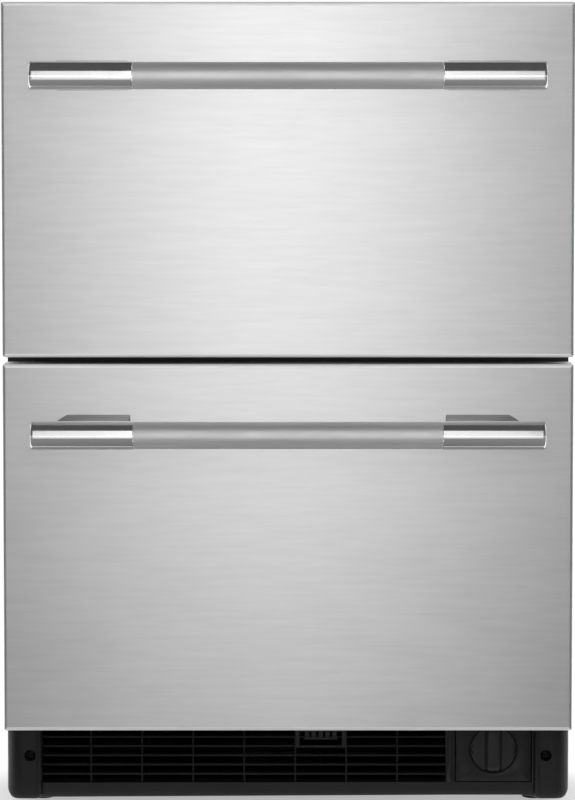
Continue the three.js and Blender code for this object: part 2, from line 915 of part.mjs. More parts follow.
// The toothed catch clipped over the louvres, on a thin backing.
function grilleClip() {
  const left = ribPlace(clipCell);
  const right = left + ribPitch;
  const back = baseFaceY + barSetback - fit;
  const low = louvreTop - clipLouvre * louvrePitch - louvreThickness / 2;
  const high = ventHead - fit;
  const backing = block([left, right], [back - clipBacking, back], [low, high]);
  const frame = block([left, right], [back - clipDepth, back], [low, high]).subtract(
    block(
      [left + clipWall, right - clipWall],
      [back - clipDepth - overrun, back - clipBacking],
      [low + clipSill, high + overrun],
    ),
  );
  const inner = left + clipWall + clipSideGap;
  const outer = right - clipWall - clipSideGap;
  const pitch = (outer - inner) / clipTeeth;
  const shelf = low + clipShelf;
  const points = [[inner, shelf], [outer, shelf]];
  for (let i = clipTeeth; i > 0; i--) {
    points.push([inner + i * pitch, shelf + clipToothHeight]);
    points.push([inner + (i - 0.5) * pitch, shelf + 2 * clipToothHeight]);
  }
  points.push([inner, shelf + clipToothHeight]);
  const teeth = prism(outlineOf(points), "y", back - clipDepth, back - clipBacking / 2);
  return backing.add(frame).add(teeth);
}

// The access panel: a plate, the round cup that the cap sits in, and the sleeve behind it.
function accessPanel() {
  const face = baseFaceY + accessSetback;
  const cupBack = baseFaceY + cupDepth;
  const centre = [capCentre, 0, capHeight];
  const plate = block(
    [accessLeft, accessRight],
    [face, face + mouldWall],
    [accessBottom, accessTop],
  );
  const well = round(cupRadius, "y", face - overrun, face + mouldWall + overrun, centre, 24);
  const sleeve = revolve(
    [
      [cupRadius, face],
      [sleeveRadius, face],
      [sleeveRadius, face + sleeveLength],
      [cupRadius, face + sleeveLength],
      [cupRadius, cupBack + sleeveWall],
      [capStem + running, cupBack + sleeveWall],
      [capStem + running, cupBack],
      [cupRadius, cupBack],
      [cupRadius, face],
    ],
    "y",
    centre,
  );
  return plate.subtract(well).add(sleeve);
}

// The quarter-turn cap: a disc with a full-height grip, and the stem that turns the cartridge.
function accessCap() {
  const front = baseFaceY + capDiscSetback;
  const centre = [capCentre, 0, capHeight];
  const disc = revolve(
    [
      [0, front],
      [capRadius - capEdge, front],
      [capRadius, front + capEdge],
      [capRadius, front + capDisc],
      [0, front + capDisc],
    ],
    "y",
    centre,
  );
  const grip = prism(
    roundRect(
      capCentre - gripWidth / 2,
      capCentre + gripWidth / 2,
      front - gripProud,
      front + gripRoot,
      gripRound,
    ),
    "z",
    capHeight - capRadius,
    capHeight + capRadius,
  ).intersect(round(capRadius, "y", front - gripProud, front + gripRoot, centre, 24));
  const stem = round(
    capStem,
    "y",
    front + capDisc - overrun,
    capStemEnd,
    centre,
  );
  return disc.add(grip).add(stem);
}

function cartridge() {
  const front = capStemEnd + fit;
  const back = front + cartridgeLength;
  const cartridgeRadius = cupRadius - cartridgeGap;
  const profile = [
    [0, front],
    [cartridgeRadius - cartridgeRound, front],
    [cartridgeRadius, front + cartridgeRound],
    [cartridgeRadius, back - cartridgeRound],
    [cartridgeRadius - cartridgeRound, back],
    [0, back],
  ];
  return revolve(profile, "y", [capCentre, 0, capHeight], 16);
}

piece("base_grille", baseGrille(), blackPlastic);
piece("grille_clip", grilleClip(), blackPlastic);
pair(["grille_screw_left", "grille_screw_right"], grilleScrew(), zincSteel);
piece("access_panel", accessPanel(), blackPlastic);
piece("access_cap", accessCap(), blackPlastic);
piece("filter_cartridge", cartridge(), whitePlastic);

// ---------------------------------------------------------------- Machine bay

// A hermetic compressor on a foot plate with four grommets.
function compressor() {
  const y = compressorY;
  const plate = panTop + fit + grommetHeight;
  const top = panTop + compressorHeight;
  const body = top - plate;
  const centre = [compressorX, y, 0];
  const profile = [
    [0, plate],
    [compressorRadius * 0.72, plate],
    [compressorRadius * 0.93, plate + body * 0.1],
    [compressorRadius, plate + body * 0.24],
    [compressorRadius, plate + body * 0.52],
    [compressorRadius + compressorSeam, plate + body * 0.52],
    [compressorRadius + compressorSeam, plate + body * 0.56],
    [compressorRadius, plate + body * 0.56],
    [compressorRadius, plate + body * 0.72],
    [compressorRadius * 0.9, plate + body * 0.87],
    [compressorRadius * 0.62, plate + body * 0.97],
    [compressorRadius * 0.34, top],
    [0, top],
  ];
  let machine = revolve(profile, "z", centre, 20);
  machine = machine.add(
    prism(
      roundRect(
        compressorX - plateWidth / 2,
        compressorX + plateWidth / 2,
        y - plateDepth / 2,
        y + plateDepth / 2,
        plateCorner,
      ),
      "z",
      plate,
      plate + compressorPlate,
    ),
  );
  for (const side of [-1, 1]) {
    for (const end of [-1, 1]) {
      const place = [
        compressorX + side * (plateWidth / 2 - grommetInset),
        y + end * (plateDepth / 2 - grommetInset),
        0,
      ];
      machine = machine.add(
        round(grommetRadius, "z", panTop + fit, plate + compressorPlate + grommetHead, place, 8),
      );
    }
  }
  for (const height of [0.3, 0.66]) {
    const stub = [0, y, plate + body * height];
    const reach = compressorX + compressorRadius;
    machine = machine.add(round(coilRadius, "x", reach - pipeRoot, reach + pipeReach, stub, 6));
  }
  return machine;
}

// The shallow tray that boils off the defrost water on top of the compressor.
function drainTray() {
  const y = compressorY;
  const low = panTop + compressorHeight + fit;
  const plan = (inset) =>
    roundRect(
      compressorX - trayWidth / 2 + inset,
      compressorX + trayWidth / 2 - inset,
      y - trayDepth / 2 + inset,
      y + trayDepth / 2 - inset,
      trayCorner - inset,
    );
  return prism(plan(0), "z", low, low + trayHeight).subtract(
    prism(plan(trayWall), "z", low + trayWall, low + trayHeight + overrun),
  );
}

// Bent tube on upright strips that stand on the pan.
function condenser() {
  const firstY = caseFrontY + condenserSetback;
  const lastY = firstY + (condenserPasses - 1) * condenserPitch;
  const bend = condenserPitch / 2;
  const left = -panHalf + condenserInset + bend + coilRadius;
  const length = capCentre - condenserCapGap - bend - coilRadius - left;
  const tube = serpentine(
    length,
    condenserPasses,
    condenserPitch,
    (s, k) => new THREE.Vector3(left + s, firstY + k, condenserHeight),
  );
  let coil = tube;
  for (let i = 0; i < condenserStrips; i++) {
    const x = left + ((i + 0.5) * length) / condenserStrips;
    coil = coil.add(
      block(
        [x - stripSheet / 2, x + stripSheet / 2],
        [firstY - stripMargin, lastY + stripMargin],
        [panTop + fit, condenserHeight + stripMargin],
      ),
    );
  }
  return coil;
}

// The plate with the fan's round opening, the motor on struts, and its spindle.
function fanShroud() {
  const front = bayFrontY + shroudSetback;
  const centre = [warmFanX, 0, warmFanHeight];
  const opening = warmFanRadius + fanClearance;
  const plate = block(
    [warmFanX - shroudWidth / 2, warmFanX + shroudWidth / 2],
    [front, front + shroudSheet],
    [panTop + fit, shroudTop],
  ).subtract(round(opening, "y", front - overrun, front + shroudSheet + overrun, centre, 24));
  let shroud = plate;
  for (let i = 0; i < 3; i++) {
    const strut = new THREE.BoxGeometry(strutWidth, shroudSheet, opening + strutTie);
    strut.translate(0, front + shroudSheet / 2, (opening + strutTie) / 2);
    strut.rotateY((2 * Math.PI * i) / 3);
    strut.translate(warmFanX, 0, warmFanHeight);
    shroud = shroud.add(solid(strut));
  }
  const motor = round(motorRadius, "y", front, front + motorLength, centre);
  const end = front + motorLength + running + hubLength;
  return shroud.add(motor).add(round(spindleRadius, "y", front, end, centre, 12));
}

const warmFanY = bayFrontY + shroudSetback + motorLength + running + hubLength / 2;

// The louvred cover over the machine bay, with the gland's hole.
function machineCover() {
  let cover = wideBlock(caseHalf, [rearY - backSheet, rearY], [caseBottom, bayHeight]);
  for (let row = 0; row < slotRows; row++) {
    for (let column = 0; column < slotColumns; column++) {
      const x = (column - (slotColumns - 1) / 2) * slotPitchX;
      const z = caseBottom + slotMargin + row * slotPitchZ;
      cover = cover.subtract(
        block(
          [x - slotWidth / 2, x + slotWidth / 2],
          [rearY - backSheet - overrun, rearY + overrun],
          [z - slotHeight / 2, z + slotHeight / 2],
        ),
      );
    }
  }
  const hole = round(
    glandRadius + fit,
    "y",
    rearY - backSheet - overrun,
    rearY + overrun,
    [caseHalf - glandInset, 0, glandHeight],
  );
  return cover.subtract(hole);
}

// The bush that the mains lead would pass through, held by its collar behind the cover.
function mainsGland() {
  const collar = rearY - backSheet - fit;
  return revolve(
    [
      [glandBore, rearY],
      [glandRadius - glandEdge, rearY],
      [glandRadius, rearY - glandEdge],
      [glandRadius, collar],
      [glandCollar, collar],
      [glandCollar, collar - glandCollarSheet],
      [glandRadius, collar - glandCollarSheet],
      [glandRadius - glandTaper, rearY - glandLength],
      [glandBore, rearY - glandLength],
      [glandBore, rearY],
    ],
    "y",
    [caseHalf - glandInset, 0, glandHeight],
    16,
  );
}

piece("compressor", compressor(), castIron);
piece("drain_tray", drainTray(), blackPlastic);
piece("condenser", condenser(), castIron);
piece("condenser_fan_shroud", fanShroud(), blackPlastic);
piece(
  "condenser_fan",
  fanWheel(warmFanRadius, 5, [warmFanX, warmFanY, warmFanHeight]),
  blackPlastic,
);
piece("machine_cover", machineCover(), zincSteel);
piece("mains_gland", mainsGland(), blackPlastic);

// ---------------------------------------------------------------- Cold-air parts

const coldFanHeight = ceiling - coldFanDrop;
const coldFanY = coverFaceY + coverWall + motorLength / 2 + running + hubLength / 2;

// The moulded cover over the evaporator: vents, the fan's opening, its motor and spindle.
function evaporatorCover() {
  const [low, high] = [ceiling - coverHeight, ceiling - fit];
  const half = mouthHalf - fit;
  const corner = linerCorner;
  const outer = prism(roundRect(-half, half, low, high, corner), "y", coverFaceY, linerRearY - fit);
  const hollow = prism(
    roundRect(
      -half + coverWall,
      half - coverWall,
      low + coverWall,
      high - coverWall,
      corner - coverWall,
    ),
    "y",
    coverFaceY + coverWall,
    linerRearY + overrun,
  );
  let cover = outer.subtract(hollow);
  const cut = [coverFaceY - overrun, coverFaceY + coverWall + overrun];
  for (const side of [-1, 1]) {
    for (let row = 0; row < coverVentRows; row++) {
      const x = side * (coldFanRadius + coldFanGuard + coverVentWidth);
      const z = high - 3 * coverVentPitch - row * coverVentPitch;
      cover = cover.subtract(
        block(
          [x - coverVentWidth / 2, x + coverVentWidth / 2],
          cut,
          [z - coverVentHeight / 2, z + coverVentHeight / 2],
        ),
      );
    }
  }
  const centre = [0, 0, coldFanHeight];
  const ring = round(coldFanRadius - coldFanLip, "y", ...cut, centre, 24);
  const hub = round(motorRadius, "y", cut[0] - overrun, cut[1] + overrun, centre);
  let openings = ring.subtract(hub);
  for (let i = 0; i < coldFanSpokes; i++) {
    const spoke = new THREE.BoxGeometry(coldFanSpoke, 4 * coverWall, 2 * coldFanRadius);
    spoke.translate(0, coverFaceY + coverWall / 2, 0);
    spoke.rotateY((Math.PI * i) / coldFanSpokes);
    spoke.translate(0, 0, coldFanHeight);
    openings = openings.subtract(solid(spoke));
  }
  cover = cover.subtract(openings);
  const motorEnd = coverFaceY + coverWall + motorLength / 2;
  const motor = round(coldMotorRadius, "y", coverFaceY + coverWall / 2, motorEnd, centre);
  const spindleEnd = motorEnd + running + hubLength;
  return cover.add(motor).add(round(spindleRadius, "y", motorEnd - overrun, spindleEnd, centre, 12));
}

// Bent tube through thin fins that stand on the liner's rear wall.
function evaporator() {
  const back = linerRearY - fit;
  const middleY = back - evaporatorFinDepth / 2;
  const top = ceiling - evaporatorDrop;
  const length = evaporatorWidth - evaporatorPitch;
  let coil = serpentine(
    length,
    evaporatorPasses,
    evaporatorPitch,
    (s, k) => new THREE.Vector3(s - length / 2, middleY, top - k),
  );
  const bottom = top - (evaporatorPasses - 1) * evaporatorPitch;
  for (let i = 0; i < evaporatorFins; i++) {
    const x = ((i - (evaporatorFins - 1) / 2) * (length - 2 * finInset)) / (evaporatorFins - 1);
    coil = coil.add(
      block(
        [x - finSheet / 2, x + finSheet / 2],
        [back - evaporatorFinDepth, back],
        [bottom - 2.5 * coilRadius, top + 2.5 * coilRadius],
      ),
    );
  }
  return coil;
}

// The control housing under the ceiling, with a pocket for each button.
function controlHousing() {
  const front = caseFrontY + controlSetback;
  const [low, high] = [ceiling - controlHeight, ceiling - fit];
  const section = new THREE.Shape();
  section.moveTo(front, high);
  section.lineTo(front, low + controlRound);
  section.absarc(front + controlRound, low + controlRound, controlRound, Math.PI, 1.5 * Math.PI);
  section.lineTo(front + controlDepth - controlSlope, low);
  section.lineTo(front + controlDepth, high);
  let housing = prism(section, "x", -controlWidth / 2, controlWidth / 2);
  const middle = ceiling - controlHeight / 2;
  for (const side of [-1, 1]) {
    const x = side * buttonOffset;
    housing = housing.subtract(
      block(
        [x - buttonWidth / 2 - buttonGap, x + buttonWidth / 2 + buttonGap],
        [front - overrun, front - buttonProud + buttonLength + buttonTravel + fit],
        [middle - buttonHeight / 2 - buttonGap, middle + buttonHeight / 2 + buttonGap],
      ),
    );
  }
  return housing;
}

function controlButton(side) {
  const front = caseFrontY + controlSetback - buttonProud;
  const middle = ceiling - controlHeight / 2;
  const x = side * buttonOffset;
  return prism(
    roundRect(
      x - buttonWidth / 2,
      x + buttonWidth / 2,
      middle - buttonHeight / 2,
      middle + buttonHeight / 2,
      buttonRound,
    ),
    "y",
    front,
    front + buttonLength,
  );
}

function lightCover() {
  const front = caseFrontY + lightSetback;
  const section = outlineOf([
    [front, ceiling - fit],
    [front + lightSlope, ceiling - lightHeight],
    [front + lightDepth - lightSlope, ceiling - lightHeight],
    [front + lightDepth, ceiling - fit],
  ]);
  return prism(section, "x", -lightWidth / 2, lightWidth / 2);
}

piece("evaporator_cover", evaporatorCover(), whitePlastic);
piece("evaporator", evaporator(), finAluminium);
piece("evaporator_fan", fanWheel(coldFanRadius - coldFanTip, 5, [0, coldFanY, coldFanHeight]), whitePlastic);
piece("control_housing", controlHousing(), greyLiner);
piece("colder_button", controlButton(-1), whitePlastic);
piece("warmer_button", controlButton(1), whitePlastic);
piece("light_cover", lightCover(), lens);

// ---------------------------------------------------------------- Telescopic slides

const frameFrontY = padBackY + fit;
const frameBackY = coverFaceY - frameRearGap;
const slideFrontY = caseFrontY + slideStart;
const slideBackY = frameBackY - slideStart;

// A lipped channel that opens towards the middle of the cabinet, as an outline in X and Z.
// web is the outer face of its web; depth and height are its outside sizes.
function channel(web, depth, height, lip, z) {
  const [out, mid] = [web, web - depth];
  const [h, t] = [height / 2, slideSheet];
  return outlineOf([
    [out, z - h],
    [out, z + h],
    [mid, z + h],
    [mid, z + h - t - lip],
    [mid + t, z + h - t - lip],
    [mid + t, z + h - t],
    [out - t, z + h - t],
    [out - t, z - h + t],
    [mid + t, z - h + t],
    [mid + t, z - h + t + lip],
    [mid, z - h + t + lip],
    [mid, z - h],
  ]);
}

const fixedWeb = mouthHalf - fit;
const middleWeb = fixedWeb - slideSheet - running;
const middleHeight = slideHeight - 2 * slideSheet - 2 * running;
const middleDepth = slideDepth - 2 * slideSheet - 2 * running;
const runnerWeb = middleWeb - slideSheet - running;
const runnerHeight = middleHeight - 2 * slideSheet - 2 * running;
const railFace = fixedWeb - slideDepth - running; // outer face of the drawer's side rail

function fixedSlide(z) {
  const section = channel(fixedWeb, slideDepth, slideHeight, slideLipHeight, z);
  return prism(section, "y", slideFrontY, slideBackY);
}

function middleSlide(z) {
  const section = channel(middleWeb, middleDepth, middleHeight, slideLipHeight, z);
  return prism(section, "y", slideFrontY, slideBackY);
}

// ---------------------------------------------------------------- Drawers

// A drawer's own places, from the heights of its front, its mouth, its slide and its rim.
// A slide lies midway between the mouth's top and what is below the slide.
const drawers = [
  {
    name: "upper",
    low: lowerFrontTop + frontGap,
    high: overallHeight,
    mouth: [railHigh, ceiling],
    handle: overallHeight - upperHandleDrop,
    slide: (railHigh + ceiling) / 2,
    rim: ceiling - upperRimDrop,
    floor: railHigh + binBase,
    stepped: false,
  },
  {
    name: "lower",
    low: toeHeight,
    high: lowerFrontTop,
    mouth: [compartmentFloor, railLow],
    handle: lowerFrontTop - lowerHandleDrop,
    slide: (stepTop + railLow) / 2,
    rim: railLow - lowerRimDrop,
    floor: compartmentFloor + binBase,
    stepped: true,
  },
];

// The stainless front: one sheet folded back on four sides and hemmed inwards.
function frontSkin(d) {
  const pan = (inset, depth, bend) => {
    const half = frontHalf - inset;
    const face = roundRect(
      -half + bend,
      half - bend,
      d.low + inset + bend,
      d.high - inset - bend,
      Math.max(bend / 2, 0.5),
    );
    const geometry = new THREE.ExtrudeGeometry(face, {
      depth: depth,
      bevelThickness: bend,
      bevelSize: bend,
      bevelSegments: 3,
      curveSegments: 1,
    });
    geometry.applyMatrix4(
      new THREE.Matrix4().set(1, 0, 0, 0, 0, 0, -1, depth, 0, 1, 0, 0, 0, 0, 0, 1),
    );
    geometry.translate(0, frontFaceY + inset + bend, 0);
    return solid(geometry);
  };
  const behind = wideBlock(frontHalf + overrun, [frontFaceY + skinDepth, rearY], [0, overallHeight]);
  const outer = pan(0, 2 * skinDepth, skinBend).subtract(behind);
  const hollowBack = frontFaceY + skinDepth - skinSheet;
  const hollow = pan(skinSheet, 2 * skinDepth, skinBend - skinSheet).subtract(
    wideBlock(frontHalf, [hollowBack, rearY], [0, overallHeight]),
  );
  const mouth = wideBlock(
    frontHalf - skinHem,
    [hollowBack - overrun, frontFaceY + skinDepth + overrun],
    [d.low + skinHem, d.high - skinHem],
  );
  return outer.subtract(hollow).subtract(mouth);
}

// The moulded inner panel: a shallow tray with a raised middle that enters the case's mouth.
function innerPanel(d) {
  const front = frontFaceY + skinDepth + fit;
  const tray = (inset) =>
    prism(
      roundRect(
        -frontHalf + panelInset + inset,
        frontHalf - panelInset - inset,
        d.low + panelInset + inset,
        d.high - panelInset - inset,
        panelCorner - inset,
      ),
      "y",
      inset > 0 ? front - overrun : front,
      frontBackY - inset,
    );
  const pad = (inset) => {
    const clear = padClearance + inset;
    return prism(
      roundRect(
        -mouthHalf + clear,
        mouthHalf - clear,
        d.mouth[0] + clear,
        d.mouth[1] - clear,
        linerCorner - inset,
      ),
      "y",
      frontBackY - panelWall - overrun,
      padBackY - inset,
    );
  };
  return tray(0).add(pad(0)).subtract(tray(panelWall).add(pad(panelWall)));
}

// The magnetic gasket round the inner panel.
function gasket(d) {
  const ring = (inset) =>
    prism(
      roundRect(
        -frontHalf + gasketInset + inset,
        frontHalf - gasketInset - inset,
        d.low + gasketInset + inset,
        d.high - gasketInset - inset,
        Math.max(gasketCorner - inset, 2),
      ),
      "y",
      frontBackY + fit - (inset > 0 ? overrun : 0),
      caseFrontY - fit + (inset > 0 ? overrun : 0),
    );
  return ring(0).subtract(ring(gasketWidth));
}

const bracketOuter = handleLength / 2 - bracketFromEnd;
const bracketInner = bracketOuter - bracketLength;
const handleY = frontFaceY - handleReach + ferruleRadius;
const barHalf = handleLength / 2 - ferruleLength - fit;

function handleBar(d) {
  const centre = [0, handleY, d.handle];
  const bore = barRadius - barWall;
  return revolve(
    [
      [bore, -barHalf],
      [barRadius, -barHalf],
      [barRadius, barHalf],
      [bore, barHalf],
      [bore, -barHalf],
    ],
    "x",
    centre,
  );
}

// The right-hand ferrule: a turned end piece with a spigot that plugs into the bar.
function ferrule(d) {
  const inner = handleLength / 2 - ferruleLength;
  const outer = handleLength / 2;
  const spigot = barRadius - barWall - fit;
  return revolve(
    [
      [0, inner - spigotLength],
      [spigot, inner - spigotLength],
      [spigot, inner],
      [ferruleRadius - ferruleEdge, inner],
      [ferruleRadius, inner + ferruleEdge],
      [ferruleRadius, outer - ferruleDome],
      [ferruleRadius * 0.85, outer - ferruleDome * 0.25],
      [0, outer],
    ],
    "x",
    [0, handleY, d.handle],
  );
}

// The right-hand bracket, which tapers to the door and is hollowed for the ferrule.
function handleBracket(d) {
  const door = frontFaceY - fit;
  const plan = outlineOf([
    [bracketInner, door],
    [bracketInner, handleY],
    [bracketOuter, handleY],
    [bracketOuter - bracketTaper, door],
  ]);
  const low = d.handle - bracketHeight / 2;
  const seat = round(
    ferruleRadius + fit,
    "x",
    bracketInner - overrun,
    bracketOuter + overrun,
    [0, handleY, d.handle],
    24,
  );
  return prism(plan, "z", low, low + bracketHeight).subtract(seat);
}

const binFrontY = frameFrontY + frameSheet + fit;
const binBackY = frameBackY - frameSheet - fit;

// The drawer's frame: side rails with the slides' runners, an apron and a rear tie.
function drawerFrame(d) {
  const ledge = d.rim - frameSheet;
  const foot = d.slide - runnerNeck;
  const side = (sign) => {
    const x = (value) => sign * value;
    const span = (a, b) => [Math.min(x(a), x(b)), Math.max(x(a), x(b))];
    const rail = block(span(railFace - frameSheet, railFace), [frameFrontY, frameBackY], [foot, d.rim]);
    const top = block(span(railFace - frameLedge, railFace), [frameFrontY, frameBackY], [ledge, d.rim]);
    const neck = block(
      span(railFace - frameSheet, runnerWeb),
      [slideFrontY, slideBackY],
      [d.slide - runnerNeck / 2, d.slide + runnerNeck / 2],
    );
    const runner = block(
      span(runnerWeb - slideSheet, runnerWeb),
      [slideFrontY, slideBackY],
      [d.slide - runnerHeight / 2, d.slide + runnerHeight / 2],
    );
    return rail.add(top).add(neck).add(runner);
  };
  const apron = wideBlock(
    railFace,
    [frameFrontY, frameFrontY + frameSheet],
    [d.rim - frameApron, d.rim],
  );
  const tie = wideBlock(railFace, [frameBackY - frameSheet, frameBackY], [d.rim - frameTie, d.rim]);
  return side(1).add(side(-1)).add(apron).add(tie);
}

// The lift-out bin: a rounded tub whose rim rests on the frame. The lower one steps over the bay.
function bin(d) {
  const half = railFace - frameLedge - fit;
  const rim = d.rim + fit;
  const stepY = stepFrontY - binClearance;
  const stepZ = stepTop + binBase;
  const tub = (inset, lift) => {
    const plan = (back) =>
      roundRect(-half + inset, half - inset, binFrontY + inset, back - inset, binCorner - inset);
    const top = rim + binWall + lift;
    const deep = prism(plan(d.stepped ? stepY : binBackY), "z", d.floor + inset, top, 3);
    if (!d.stepped) return deep;
    return deep.add(prism(plan(binBackY), "z", stepZ + inset, top, 3));
  };
  const lip = prism(
    roundRect(-half - binRimWidth, half + binRimWidth, binFrontY, binBackY, binCorner),
    "z",
    rim,
    rim + binWall,
    3,
  );
  return tub(0, 0).add(lip).subtract(tub(binWall, overrun));
}

for (const d of drawers) {
  const named = (what) => `${d.name}_${what}`;
  const sides = (what) => [named(`${what}_left`), named(`${what}_right`)];
  piece(named("front_skin"), frontSkin(d), stainless);
  piece(named("inner_panel"), innerPanel(d), paleLiner);
  piece(named("gasket"), gasket(d), greyRubber);
  piece(named("handle_bar"), handleBar(d), satin);
  pair(sides("handle_ferrule"), ferrule(d), polished);
  pair(sides("handle_bracket"), handleBracket(d), satin);
  piece(named("drawer_frame"), drawerFrame(d), zincSteel);
  piece(named("bin"), bin(d), clearBin);
  pair(sides("fixed_slide"), fixedSlide(d.slide), zincSteel);
  pair(sides("middle_slide"), middleSlide(d.slide), zincSteel);
}

export default refrigerator;
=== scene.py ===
# Undercounter refrigerator with two drawers: the finish of every piece, in metres.
# X to the right, Y to the back, Z up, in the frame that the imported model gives.
import json
import math

import bmesh
import bpy
import numpy as np
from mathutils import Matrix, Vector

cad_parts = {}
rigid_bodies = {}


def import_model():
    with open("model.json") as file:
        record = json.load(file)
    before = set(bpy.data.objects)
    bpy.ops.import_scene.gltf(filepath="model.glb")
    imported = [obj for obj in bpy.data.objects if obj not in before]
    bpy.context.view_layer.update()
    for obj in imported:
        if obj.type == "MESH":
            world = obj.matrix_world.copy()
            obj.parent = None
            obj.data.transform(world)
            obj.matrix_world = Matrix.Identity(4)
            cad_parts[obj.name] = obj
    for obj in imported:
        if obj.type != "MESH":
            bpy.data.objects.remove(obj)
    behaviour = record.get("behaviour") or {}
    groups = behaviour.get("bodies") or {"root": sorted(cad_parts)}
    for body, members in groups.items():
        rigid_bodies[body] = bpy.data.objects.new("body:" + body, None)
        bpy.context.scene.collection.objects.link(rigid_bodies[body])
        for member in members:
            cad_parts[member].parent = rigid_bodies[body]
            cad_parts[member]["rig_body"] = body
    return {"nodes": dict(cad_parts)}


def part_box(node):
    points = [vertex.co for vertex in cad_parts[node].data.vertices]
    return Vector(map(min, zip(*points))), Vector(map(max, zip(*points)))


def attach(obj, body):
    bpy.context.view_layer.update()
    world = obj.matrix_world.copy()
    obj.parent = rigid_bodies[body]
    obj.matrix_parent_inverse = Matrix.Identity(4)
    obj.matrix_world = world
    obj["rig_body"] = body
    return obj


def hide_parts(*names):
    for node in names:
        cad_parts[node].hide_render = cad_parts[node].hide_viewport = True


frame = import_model()
scene = bpy.context.scene
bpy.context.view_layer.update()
scene.view_settings.view_transform = "Standard"

# ---------------------------------------------------------------- Viewpoint
# The photograph was taken straight from the front with a long lens, from about the height of
# the upper handle. A slight tilt and a small shift bring the base into the picture.

viewing_distance = 4.0  # from the face of the drawer fronts
viewing_height = 0.797
viewing_side = -0.0006
downward_tilt = math.radians(3.80)
lens_length = 170.5
lens_shift = -0.10

fronts_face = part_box("upper_front_skin")[0].y
camera = bpy.data.objects.new("camera", bpy.data.cameras.new("camera"))
scene.collection.objects.link(camera)
camera.location = (viewing_side, fronts_face - viewing_distance, viewing_height)
camera.rotation_euler = (math.pi / 2 - downward_tilt, 0, 0)
camera.data.lens = lens_length
camera.data.shift_y = lens_shift
camera.data.clip_end = 100
scene.camera = camera

# ---------------------------------------------------------------- Studio
# A white photographic studio: a pale floor that runs into a white backdrop, two tall softboxes
# in front, a dim room behind them, and two cards on the floor that the steel reflects.


def grey(level):
    """The linear colour of an 8-bit grey."""
    share = level / 255
    linear = share / 12.92 if share < 0.04045 else ((share + 0.055) / 1.055) ** 2.4
    return (linear, linear, linear, 1)


def maker(tree):
    """A function that adds a node of a kind to a node tree and sets its properties and sockets."""

    def add(kind, links=(), **settings):
        node = tree.nodes.new("ShaderNode" + kind)
        for name, value in settings.items():
            if hasattr(node, name):
                setattr(node, name, value)
            else:
                node.inputs[name.replace("_", " ")].default_value = value
        for socket, source in dict(links).items():
            tree.links.new(source, node.inputs[socket])
        return node

    return add


def ramp(add, source, start, end, low, high):
    """A value that runs smoothly from low to high as the source runs from start to end."""
    links = {"Value": source}
    node = add("MapRange", links, interpolation_type="SMOOTHSTEP", From_Min=start, From_Max=end)
    for socket, value in (("To Min", low), ("To Max", high)):
        if isinstance(value, (int, float)):
            node.inputs[socket].default_value = value
        else:
            node.id_data.links.new(value, node.inputs[socket])
    return node.outputs[0]


def seen_ray(add):
    """1 for rays that show the background: those from the camera, in gloss and through glass. The
    second value is 1 for those from the camera alone."""
    path = add("LightPath")
    first = {0: path.outputs["Is Camera Ray"], 1: path.outputs["Is Glossy Ray"]}
    either = add("Math", first, operation="MAXIMUM").outputs[0]
    second = {0: either, 1: path.outputs["Is Transmission Ray"]}
    return add("Math", second, operation="MAXIMUM").outputs[0], path.outputs["Is Camera Ray"]


room_light = 0.62  # the world's even light on matt surfaces
room_left, room_right = 0.10, 0.14  # what the steel reflects of the room beside the softboxes
room_ceiling = 0.08
room_side = 0.9  # a direction that leans this far to one side meets that side's level in full
backdrop_depth = 0.3  # and one that leans this far to the back meets the white backdrop in full
ceiling_start, ceiling_full = 0.64, 0.70  # the same upwards, about 40 and 44 degrees

world = bpy.data.worlds.new("studio")
scene.world = world
world.use_nodes = True
tree = world.node_tree
tree.nodes.clear()
add = maker(tree)
seen, straight = seen_ray(add)
direction = add("SeparateXYZ", {0: add("TexCoord").outputs["Generated"]})
room = ramp(add, direction.outputs["X"], -room_side, room_side, room_left, room_right)
backdrop = ramp(add, direction.outputs["Y"], 0, backdrop_depth, room, 1)
lit = ramp(add, direction.outputs["Z"], ceiling_start, ceiling_full, backdrop, room_ceiling)
shown = add("Math", {0: lit, 1: straight}, operation="MAXIMUM")
level = add("Mix", {"Factor": seen, 3: shown.outputs[0]}, data_type="FLOAT")
level.inputs[2].default_value = room_light
background = add("Background", {"Strength": level.outputs[0]}, Color=(1, 1, 1, 1))
tree.links.new(background.outputs[0], add("OutputWorld").inputs[0])


def level_sheet(name, left, right, front, back, height):
    """A flat rectangle of the studio, not part of the object."""
    mesh = bpy.data.meshes.new(name)
    corners = [(left, front, height), (right, front, height), (right, back, height), (left, back, height)]
    mesh.from_pydata(corners, [], [(0, 1, 2, 3)])
    sheet = bpy.data.objects.new(name, mesh)
    scene.collection.objects.link(sheet)
    paint = bpy.data.materials.new(name + "_paint")
    paint.use_nodes = True
    paint.node_tree.nodes.clear()
    mesh.materials.append(paint)
    return sheet, paint.node_tree


floor_reach = 40
floor_colour = grey(235)
painted_shadow_glow, far_glow = 0.43, 0.72  # added to what the lamps light, where the floor itself is seen; the lower glow near the object paints a soft shadow there
painted_shadow_middle = -0.30  # the painted shadow lies round this point in front of the object's middle
# the painted shadow is full within the first reach and fades out by the second
painted_shadow_reach, painted_shadow_fade = 0.355, 0.46
_, tree = level_sheet("studio_floor", -floor_reach, floor_reach, -floor_reach, floor_reach, 0)
add = maker(tree)
seen, straight = seen_ray(add)
place = add("Mapping", {"Vector": add("TexCoord").outputs["Object"]})
place.inputs["Location"].default_value = (0, -painted_shadow_middle, 0)
away = add("VectorMath", {0: place.outputs[0]}, operation="LENGTH").outputs["Value"]
# for seen rays the floor glows less near the object: a painted shadow
strength = ramp(add, seen, 0, 1, 0, ramp(add, away, painted_shadow_reach, painted_shadow_fade, painted_shadow_glow, far_glow))
glow = add("Emission", {"Strength": strength}, Color=(1, 1, 1, 1))
both = add("AddShader", {0: add("BsdfDiffuse", Color=floor_colour).outputs[0], 1: glow.outputs[0]})
tree.links.new(both.outputs[0], add("OutputMaterial").inputs[0])

